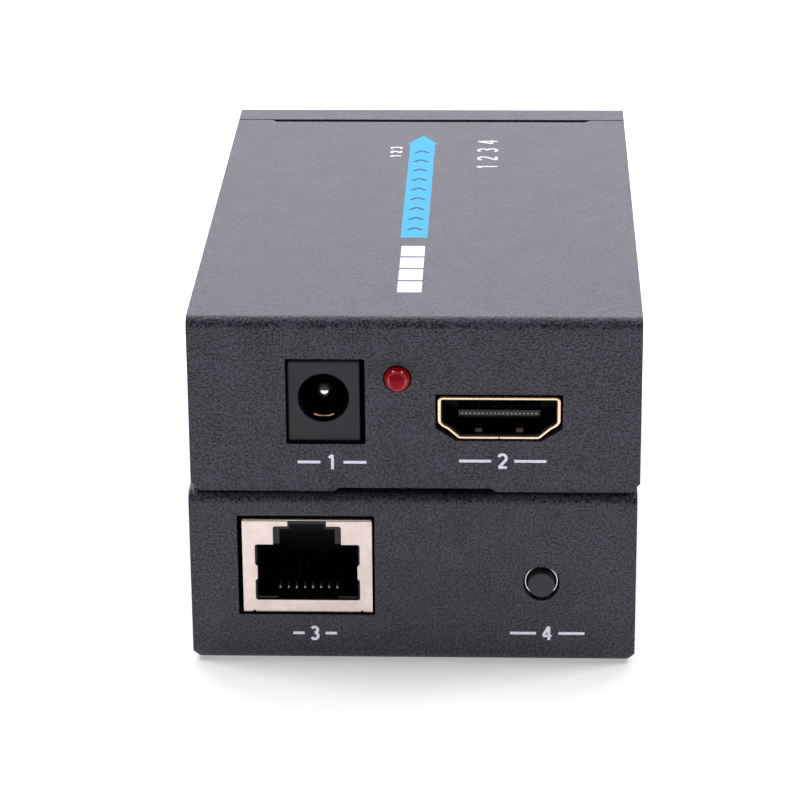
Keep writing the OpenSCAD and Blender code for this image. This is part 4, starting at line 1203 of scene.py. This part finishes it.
@dataclass
class AvSocket(Assembly):
    """Nineteen-contact socket: rolled shell with two latch springs, insert and contacts."""

    across: float = 10.27
    up: float = 7.2
    proud: float = 0.2
    width: float = 14.9
    height: float = 5.48
    foot: float = 9.8
    wall: float = 0.4
    length: float = 11.0
    seam: float = 0.12
    rim: float = 0.13
    flank: tuple[tuple[float, float], ...] = ((2.15, 0.36), (1.09, 1.3), (0.54, 1.55), (0.0, 2.12))
    corner: float = 0.6
    softening: float = 0.32
    latch_place: float = 2.49
    latch_width: float = 0.85
    latch_height: float = 0.5
    latch_foot: float = 0.38
    latch_depths: tuple[float, ...] = (1.1, 1.35, 2.5, 3.9)
    latch_thick: float = 0.2
    leg_depths: tuple[float, float] = (3.4, 9.2)
    leg_half: float = 0.5
    leg_edge: float = 0.06
    leg_top: float = 3.12
    leg_end: float = 0.7
    board_thick: float = 1.6
    board_gap: float = 1.0
    # Painted shade: a dark sleeve inside the shell's wall.
    sleeve_start: float = 0.2
    sleeve_end: float = 6.6
    sleeve_wall: float = 0.08
    sleeve_gap: float = 0.02
    insert_edge: float = 0.07
    contact_edge: float = 0.03

    def outline(self) -> np.ndarray:
        """Outer outline of the shell, from one side of the seam round to the other.

        Each point of the flank is an inset from the half width and a height. The left half is the
        right half mirrored.

        Returns:
            Rows of across and height, counter-clockwise.
        """
        half = self.width / 2
        side = np.array(self.flank) * (-1, 1) + (half, 0)
        corner = quarter((half - self.corner, self.height - self.corner), self.corner, 0, 90, 7)
        right = np.vstack([[[self.foot / 2, 0.0]], side, corner])
        left = right[::-1] * (-1, 1)
        gap = self.seam / 2
        ring = np.vstack([[[gap, 0.0]], right, left, [[-gap, 0.0]]])
        return softened(ring, self.softening, 4, closed=False)

    def carried(self, loop: np.ndarray) -> Patch:
        """Carries a loop along the shell's outline.

        At each point of the outline the loop's first value is a step outwards along the mitre
        direction, and its second value is the depth.

        Args:
            loop: Rows of a step outwards and a depth.

        Returns:
            The closed band.
        """
        outline = self.outline()
        side = outward(outline, closed=False)
        flat = outline[:, None] + loop[None, :, :1] * side[:, None]
        depth = np.broadcast_to(loop[None, :, 1:], flat.shape[:2] + (1,))
        return Patch.grid(np.concatenate([flat[..., :1], depth, flat[..., 1:]], axis=-1), caps=True)

    def shell(self) -> Patch:
        """Wall of the shell.

        The carried loop goes out along the outer face, over the rounded mouth and back along the
        inner face.

        Returns:
            The closed wall.
        """
        near = quarter((-self.rim, self.rim), self.rim, 0, -90, 4)
        far = quarter((self.rim - self.wall, self.rim), self.rim, -90, -180, 4)
        loop = np.vstack([[[0.0, self.length]], near, far, [[-self.wall, self.length]]])
        return self.carried(loop)

    def sleeve(self) -> Patch:
        """Dark sleeve of painted shade on the inside of the shell's wall, where the shell's bare metal
        only looks black in shade.

        The carried loop is a small rectangle: from just inside the wall inwards by the sleeve's own
        thickness, between two depths.

        Returns:
            The closed sleeve.
        """
        outer = -self.wall - self.sleeve_gap
        inner = outer - self.sleeve_wall
        return self.carried(np.array([
            [outer, self.sleeve_end], [outer, self.sleeve_start],
            [inner, self.sleeve_start], [inner, self.sleeve_end],
        ]))

    def latch(self) -> Patch:
        """One latch spring: a strip that rises from the floor, runs level and falls again.

        Its path has four corners in depth and height, rounded by the strip's thickness.

        Returns:
            The closed strip.
        """
        high = self.latch_height + self.wall
        path = np.stack([self.latch_depths, (self.latch_foot, high, high, self.latch_foot)], axis=-1)
        path = softened(path, self.latch_thick, 5, closed=False)
        return leaf(path, self.latch_width, self.latch_thick)

    def legs(self) -> list[Patch]:
        """Four legs from the shell's sides down through the board.

        Returns:
            One closed bar for each leg.
        """
        low = -self.board_gap - self.board_thick - self.leg_end
        middle = (self.width - self.wall) / 2
        half = np.array([self.wall / 2, self.leg_half])
        places = np.array([(side * middle, depth) for side in (-1, 1) for depth in self.leg_depths])
        return [
            bar((*(place - half), low), (*(place + half), self.leg_top), self.leg_edge)
            for place in places
        ]

    def build(self) -> None:
        """Joins the shell's parts, adds the dark sleeve of painted shade, and softens the insert."""
        latches = [self.latch().moved(side * self.latch_place, 0, 0) for side in (-1, 1)]
        shell = Patch.joined([self.shell(), *latches, *self.legs()])
        self.stand_in(shell.moved(self.across, -self.proud, self.up), "av_shell", End.POWER)
        # Dark sleeve of painted shade inside the shell.
        sleeve = self.sleeve().moved(self.across, -self.proud, self.up)
        self.shape(sleeve, "av_sleeve", "socket_black", End.POWER)
        self.softened_copy("av_insulator", self.insert_edge)
        self.softened_copy("av_contacts", self.contact_edge)


@dataclass
class NetworkSocket(Assembly):
    """Eight-contact modular socket: folded shield, keyed housing and bent wires."""

    across: float = -13.05
    up: float = 6.38
    set_back: float = 0.5
    floor: float = 1.74
    pitch: float = 1.02
    wire_front: float = 1.8
    wire_radius: float = 0.175
    bend: float = 0.5
    bend_back: float = 0.75
    tip: float = 0.08
    rise: float = 13.0
    run: float = 7.6
    back: float = 12.95
    pin_depth: float = 9.6
    pin_half: float = 0.2
    pin_edge: float = 0.05
    pin_end: float = 0.7
    row_step: float = 2.54
    board_thick: float = 1.6
    board_gap: float = 0.18
    edge: float = 0.07
    fold_half: float = 7.9
    fold_radius: float = 0.13
    fold_depth: float = 0.12
    fold_up: float = 12.47

    def wire_path(self) -> np.ndarray:
        """Middle line of a contact: along the floor, round the front bend and back up at a slope.

        Returns:
            Rows of depth and height.
        """
        low = self.floor + self.wire_radius
        middle = np.array([self.wire_front + self.bend_back, low + self.bend])
        arc = quarter(middle, self.bend, 270, 90 + self.rise, 14)
        slope = math.radians(self.rise)
        way = np.array([math.cos(slope), math.sin(slope)])
        start = [[self.back, low], [self.back - self.tip, low]]
        last = arc[-1] + self.run * way
        return np.vstack([start, arc, [last - self.tip * way, last]])

    def build(self) -> None:
        """Sweeps the eight wires with their pins, and softens the shield and the housing."""
        path = self.wire_path()
        places = (np.arange(8) - 3.5) * self.pitch
        wires = [wire(path, self.wire_radius, x) for x in places]
        low = -self.board_gap - self.board_thick - self.pin_end
        rows = self.pin_depth + self.row_step * (np.arange(8) % 2)
        half = self.pin_half
        pins = [
            bar((x - half, y - half, low), (x + half, y + half, 0.0), self.pin_edge)
            for x, y in zip(places, rows)
        ]
        patch = Patch.joined(wires + pins).moved(self.across, self.set_back, self.up)
        self.stand_in(patch, "lan_contacts", End.NETWORK)
        self.softened_copy("lan_shield", self.edge)
        fold = rod(self.fold_half, self.fold_radius)
        fold = fold.moved(self.across, self.set_back + self.fold_depth, self.up + self.fold_up)
        self.shape(fold, "lan_fold", "satin_nickel", End.NETWORK)
        self.softened_copy("lan_housing", self.edge)


@dataclass
class ResetSwitch(Assembly):
    """Reset button with its plate."""

    across: float = 15.85
    up: float = 10.7
    radius: float = 1.65
    proud: float = 0.45
    edge: float = 0.14
    disc_depth: float = 1.65
    disc_radius: float = 2.2
    disc: float = 0.6
    disc_edge: float = 0.08
    plate_edge: float = 0.04
    rim_radius: float = 1.97
    rim_tube: float = 0.21
    rim_depth: float = 0.95

    def profile(self) -> np.ndarray:
        """Radius and depth of the button: flat face, round edge, stem, and a disc behind the plate.

        Returns:
            Rows of radius and depth from the middle of the face to the middle of the disc's back.
        """
        rim = quarter((self.radius - self.edge, -self.proud + self.edge), self.edge, -90, 0, 6)
        back = self.disc_depth + self.disc
        disc = np.array([
            [self.radius, self.disc_depth],
            [self.disc_radius - self.disc_edge, self.disc_depth],
            [self.disc_radius, self.disc_depth + self.disc_edge],
            [self.disc_radius, back - self.disc_edge],
            [self.disc_radius - self.disc_edge, back],
            [0.0, back],
        ])
        return np.vstack([[[0.0, -self.proud]], rim, disc])

    def build(self) -> None:
        """Turns the button, which rides on its own body, and softens its plate with the rim."""
        button = turned_profile(self.profile()).moved(self.across, 0.0, self.up)
        piece = self.stand_in(button, "reset_button", End.NETWORK)
        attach(piece, f"{self.seat.name}_button")
        self.softened_copy("switch_plate", self.plate_edge)
        circle = quarter((self.rim_radius, self.rim_depth), self.rim_tube, 0, 360, 13)
        rim = turned_profile(circle).moved(self.across, 0.0, self.up)
        self.shape(rim, "switch_rim", "rim_bright", End.NETWORK)


DIGITS: dict[str, list[np.ndarray]] = {
    "1": [np.array([[0.12, 0.8], [0.34, 1.0]]), np.array([[0.34, 1.0], [0.34, 0.0]])],
    "2": [
        np.vstack([quarter((0.29, 0.71), 0.25, 165, -38, 14), [[0.06, 0.06]]]),
        np.array([[0.04, 0.06], [0.58, 0.06]]),
    ],
    "3": [quarter((0.28, 0.75), 0.22, 150, -90, 14), quarter((0.28, 0.28), 0.25, 90, -150, 14)],
    "4": [
        np.array([[0.4, 1.0], [0.04, 0.32]]), np.array([[0.02, 0.3], [0.6, 0.3]]),
        np.array([[0.42, 1.0], [0.42, 0.0]]),
    ],
}


def number_row(text: str, tall: float, pitch: float) -> list[np.ndarray]:
    """Middle lines of a row of digits.

    Each digit is drawn one high, scaled to its height and moved along the row by the pitch.

    Args:
        text: The digits.
        tall: Height of a digit.
        pitch: Step from one digit to the next.

    Returns:
        Paths of the strokes.
    """
    return [
        tall * path + (i * pitch, 0.0)
        for i, digit in enumerate(text)
        for path in DIGITS[digit]
    ]


def printed(paths: Sequence[np.ndarray], half: float, plane: Plane, level: float) -> Patch:
    """Strokes along several paths, each a hair higher than the one before, so that none coincide.

    Args:
        paths: Paths in the printed face.
        half: Half width of the strokes.
        plane: The printed face.
        level: Depth of a panel's face, or height of the top.

    Returns:
        The strokes in one patch.
    """
    step = -HAIR if plane is Plane.PANEL else HAIR
    levels = level + step * np.arange(len(paths))
    return Patch.joined([stroke(path, half, plane, at) for path, at in zip(paths, levels)])


@dataclass(frozen=True)
class Label:
    """Printed number between two short rules below a socket."""

    digit: str
    left: float
    right: float
    low: float
    high: float
    line: float = 0.18
    digit_half: float = 0.31
    digit_room: float = 0.75

    def strokes(self) -> Patch:
        """Strokes of the number and of the two rules.

        Returns:
            The thin patch on the panel.
        """
        tall = self.high - self.low - 2 * self.line
        middle = (self.left + self.right) / 2
        level = (self.low + self.high) / 2
        start = np.array([middle - self.digit_half * tall, self.low + self.line])
        number = [start + path for path in number_row(self.digit, tall, tall)]
        gap = self.digit_room * tall
        rules = [
            np.array([[self.left, level], [middle - gap, level]]),
            np.array([[middle + gap, level], [self.right, level]]),
        ]
        return printed(number + rules, self.line, Plane.PANEL, 0.0)


@dataclass
class PrintedMarks(Assembly):
    """Generic print: numbers at the sockets, and an arrow, plain blocks and digits on the top."""

    power_labels: tuple[Label, ...] = (
        Label("1", -14.3, -5.9, 2.85, 5.1),
        Label("2", 5.4, 16.05, 3.1, 5.35),
    )
    network_labels: tuple[Label, ...] = (
        Label("3", -14.95, -9.5, 2.7, 4.8),
        Label("4", 12.0, 21.25, 2.85, 5.05),
    )
    arrow_across: float = -0.87
    arrow_start: float = 30.1
    arrow_neck: float = 70.2
    arrow_tip: float = 74.2
    shaft_half: float = 1.72
    head_half: float = 2.15
    tip_half: float = 0.02
    chevron_count: int = 9
    chevron_first: float = 33.1
    chevron_last: float = 66.2
    chevron_half: float = 0.95
    chevron_tall: float = 1.0
    chevron_line: float = 0.2
    over_ink: float = 0.006
    block_across: float = -0.85
    block_start: float = 9.5
    block_pitch: float = 4.45
    block_length: float = 3.95
    block_half: float = 1.5
    block_count: int = 4
    large_row: tuple[float, float, float, float] = (9.6, 59.2, 2.75, 3.75)
    small_row: tuple[float, float, float, float] = (-3.7, 64.3, 1.45, 1.85)
    line: float = 0.19

    def arrow(self) -> Patch:
        """Arrow along the case: a stroke of even width with a head that narrows to its tip.

        Returns:
            The closed arrow.
        """
        neck = self.arrow_neck
        places = np.array([self.arrow_start, neck, neck + self.tip_half, self.arrow_tip])
        path = np.stack([np.full(4, self.arrow_across), places], axis=-1)
        half = np.array([self.shaft_half, self.shaft_half, self.head_half, self.tip_half])
        return stroke(path, half, Plane.TOP, CASE_H)

    def chevrons(self) -> Patch:
        """Row of dark chevrons on the arrow, each two short strokes that meet in a point.

        Returns:
            The chevrons in one patch.
        """
        starts = np.linspace(self.chevron_first, self.chevron_last, self.chevron_count)
        middle = self.arrow_across
        paths = [
            np.array([[middle + side * self.chevron_half, y], [middle, y + self.chevron_tall]])
            for y in starts
            for side in (-1, 1)
        ]
        level = CASE_H + self.over_ink
        return Patch.joined([stroke(path, self.chevron_line, Plane.TOP, level) for path in paths])

    def blocks(self) -> list[Patch]:
        """Plain row of even white blocks before the arrow.

        Returns:
            One closed stroke for each block.
        """
        starts = self.block_start + self.block_pitch * np.arange(self.block_count)
        across = self.block_across
        paths = [np.array([[across, y], [across, y + self.block_length]]) for y in starts]
        return [stroke(path, self.block_half, Plane.TOP, CASE_H) for path in paths]

    def turned_row(self, text: str, places: tuple[float, float, float, float]) -> list[np.ndarray]:
        """Row of digits that runs along the case, turned left by a quarter turn.

        Args:
            text: The digits.
            places: Across and along of the row's start, height of a digit and step between digits.

        Returns:
            Paths of the strokes on the top.
        """
        across, along, tall, pitch = places
        paths = number_row(text, tall, pitch)
        return [np.stack([across - path[:, 1], along + path[:, 0]], axis=-1) for path in paths]

    def build(self) -> None:
        """Prints both ends and the top."""
        power = Patch.joined([label.strokes() for label in self.power_labels])
        self.shape(power, "power_end_numbers", "white_ink", End.POWER)
        network = Patch.joined([label.strokes() for label in self.network_labels])
        self.shape(network, "network_end_numbers", "white_ink", End.NETWORK)
        self.shape(self.arrow(), "top_arrow", "blue_ink", End.POWER)
        self.shape(self.chevrons(), "top_chevrons", "dark_ink", End.POWER)
        rows = self.turned_row("1234", self.large_row) + self.turned_row("123", self.small_row)
        numbers = printed(rows, self.line, Plane.TOP, CASE_H)
        self.shape(Patch.joined([*self.blocks(), numbers]), "top_marks", "white_ink", End.POWER)


# Studio


@dataclass(frozen=True)
class Softbox:
    """Rectangular soft light: its middle, the point it faces, its size and its power."""

    name: str
    place: tuple[float, float, float]
    aim: tuple[float, float, float]
    size: tuple[float, float]
    power: float
    colour: tuple[float, float, float] = (1.0, 1.0, 1.0)

    def build(self) -> None:
        """Adds the light."""
        light = bpy.data.lights.new(self.name, "AREA")
        light.shape = "RECTANGLE"
        light.size, light.size_y = self.size
        light.energy = self.power
        light.color = self.colour
        holder = bpy.data.objects.new(self.name, light)
        bpy.context.scene.collection.objects.link(holder)
        holder.location = self.place
        way = Vector(self.aim) - Vector(self.place)
        holder.rotation_euler = way.to_track_quat("-Z", "Y").to_euler()


@dataclass(frozen=True)
class Studio:
    """White floor, soft lights and the camera."""

    camera_place: tuple[float, float, float] = (12.26, -414.1, 182.65)
    right: tuple[float, float, float] = (0.99938, 0.03417, -0.00794)
    down: tuple[float, float, float] = (0.00529, -0.37059, -0.92878)
    forward: tuple[float, float, float] = (-0.03468, 0.92817, -0.37055)
    lens: float = 148.4
    floor_half: float = 3.0
    floor_low: Colour = (0.88, 0.88, 0.9, 1.0)
    floor_high: Colour = (0.92, 0.92, 0.93, 1.0)
    floor_glow: float = 0.4
    world: tuple[float, float, float] = (0.06, 0.06, 0.066)
    softboxes: tuple[Softbox, ...] = (
        Softbox("back_softbox", (0.0, 0.75, 0.55), (0.0, 0.0, 0.03), (1.5, 0.8), 12.4,
                (1.0, 0.965, 1.04)),
        Softbox("left_softbox", (-0.5, 0.08, 0.95), (0.0, -0.04, 0.02), (0.3, 0.3), 4.5),
        Softbox("right_softbox", (0.62, 0.1, 0.86), (0.0, -0.04, 0.02), (0.3, 0.3), 4.2),
    )

    def floor(self) -> bpy.types.Object:
        """White floor: a flat grid just below nought, clear when it is looked at from below.

        Returns:
            The floor.
        """
        span = np.linspace(-self.floor_half, self.floor_half, 13) / MM
        x, y = np.meshgrid(span, span)
        patch = Patch.grid(np.stack([x, y, np.full_like(x, -0.05)], axis=-1), wrap=False)
        mesh = bpy.data.meshes.new("studio_floor")
        mesh.from_pydata((patch.points * MM).tolist(), [], [face[::-1] for face in patch.faces])
        floor = bpy.data.objects.new("studio_floor", mesh)
        bpy.context.scene.collection.objects.link(floor)
        graph = Graph("studio_floor")
        cloud = graph.noise(400.0, 2.0)
        paper = graph.node("ShaderNodeBsdfPrincipled", {
            "Base Color": graph.blend(cloud, self.floor_low, self.floor_high),
            "Roughness": 0.9,
            "Emission Color": (1.0, 1.0, 1.0, 1.0),
            "Emission Strength": self.floor_glow,
        })
        clear = graph.node("ShaderNodeBsdfTransparent", {})
        below = graph.node("ShaderNodeNewGeometry", {}).outputs["Backfacing"]
        shaders = {0: below, 1: paper.outputs[0], 2: clear.outputs[0]}
        both = graph.node("ShaderNodeMixShader", shaders)
        graph.node("ShaderNodeOutputMaterial", {"Surface": both.outputs[0]})
        mesh.materials.append(graph.material)
        return floor

    def camera(self) -> None:
        """Adds the camera at the photograph's place, from its three axes."""
        data = bpy.data.cameras.new("camera")
        data.lens = self.lens
        data.sensor_width = 36.0
        data.clip_start = 0.01
        data.clip_end = 20.0
        camera = bpy.data.objects.new("camera", data)
        bpy.context.scene.collection.objects.link(camera)
        axes = np.column_stack([self.right, np.negative(self.down), np.negative(self.forward)])
        place = Vector(self.camera_place) * MM
        camera.matrix_world = Matrix.Translation(place) @ Matrix(axes.tolist()).to_4x4()
        bpy.context.scene.camera = camera

    def build(self) -> None:
        """Sets the air's own light, the floor, the softboxes and the camera."""
        world = bpy.data.worlds.new("studio")
        world.use_nodes = True
        world.node_tree.nodes["Background"].inputs["Color"].default_value = (*self.world, 1.0)
        bpy.context.scene.world = world
        bpy.context.scene.view_settings.view_transform = "Standard"
        self.floor()
        for softbox in self.softboxes:
            softbox.build()
        self.camera()


def main() -> None:
    """Builds the studio and both boxes in order, and reports each piece."""
    logging.basicConfig(level=logging.INFO, format="%(message)s")
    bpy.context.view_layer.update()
    Studio().build()
    palette = Palette(FINISHES)
    palette.dress_nodes(frame["nodes"])
    kinds = (CaseShell, PowerJack, Indicator, AvSocket, NetworkSocket, ResetSwitch, PrintedMarks)
    for seat in (RECEIVER, SENDER):
        for kind in kinds:
            assembly = kind(seat, palette)
            assembly.build()
            for piece in assembly.made:
                LOG.info("%s: %s, %d faces", kind.__name__, piece.name, len(piece.data.polygons))


if __name__ == "__main__":
    main()
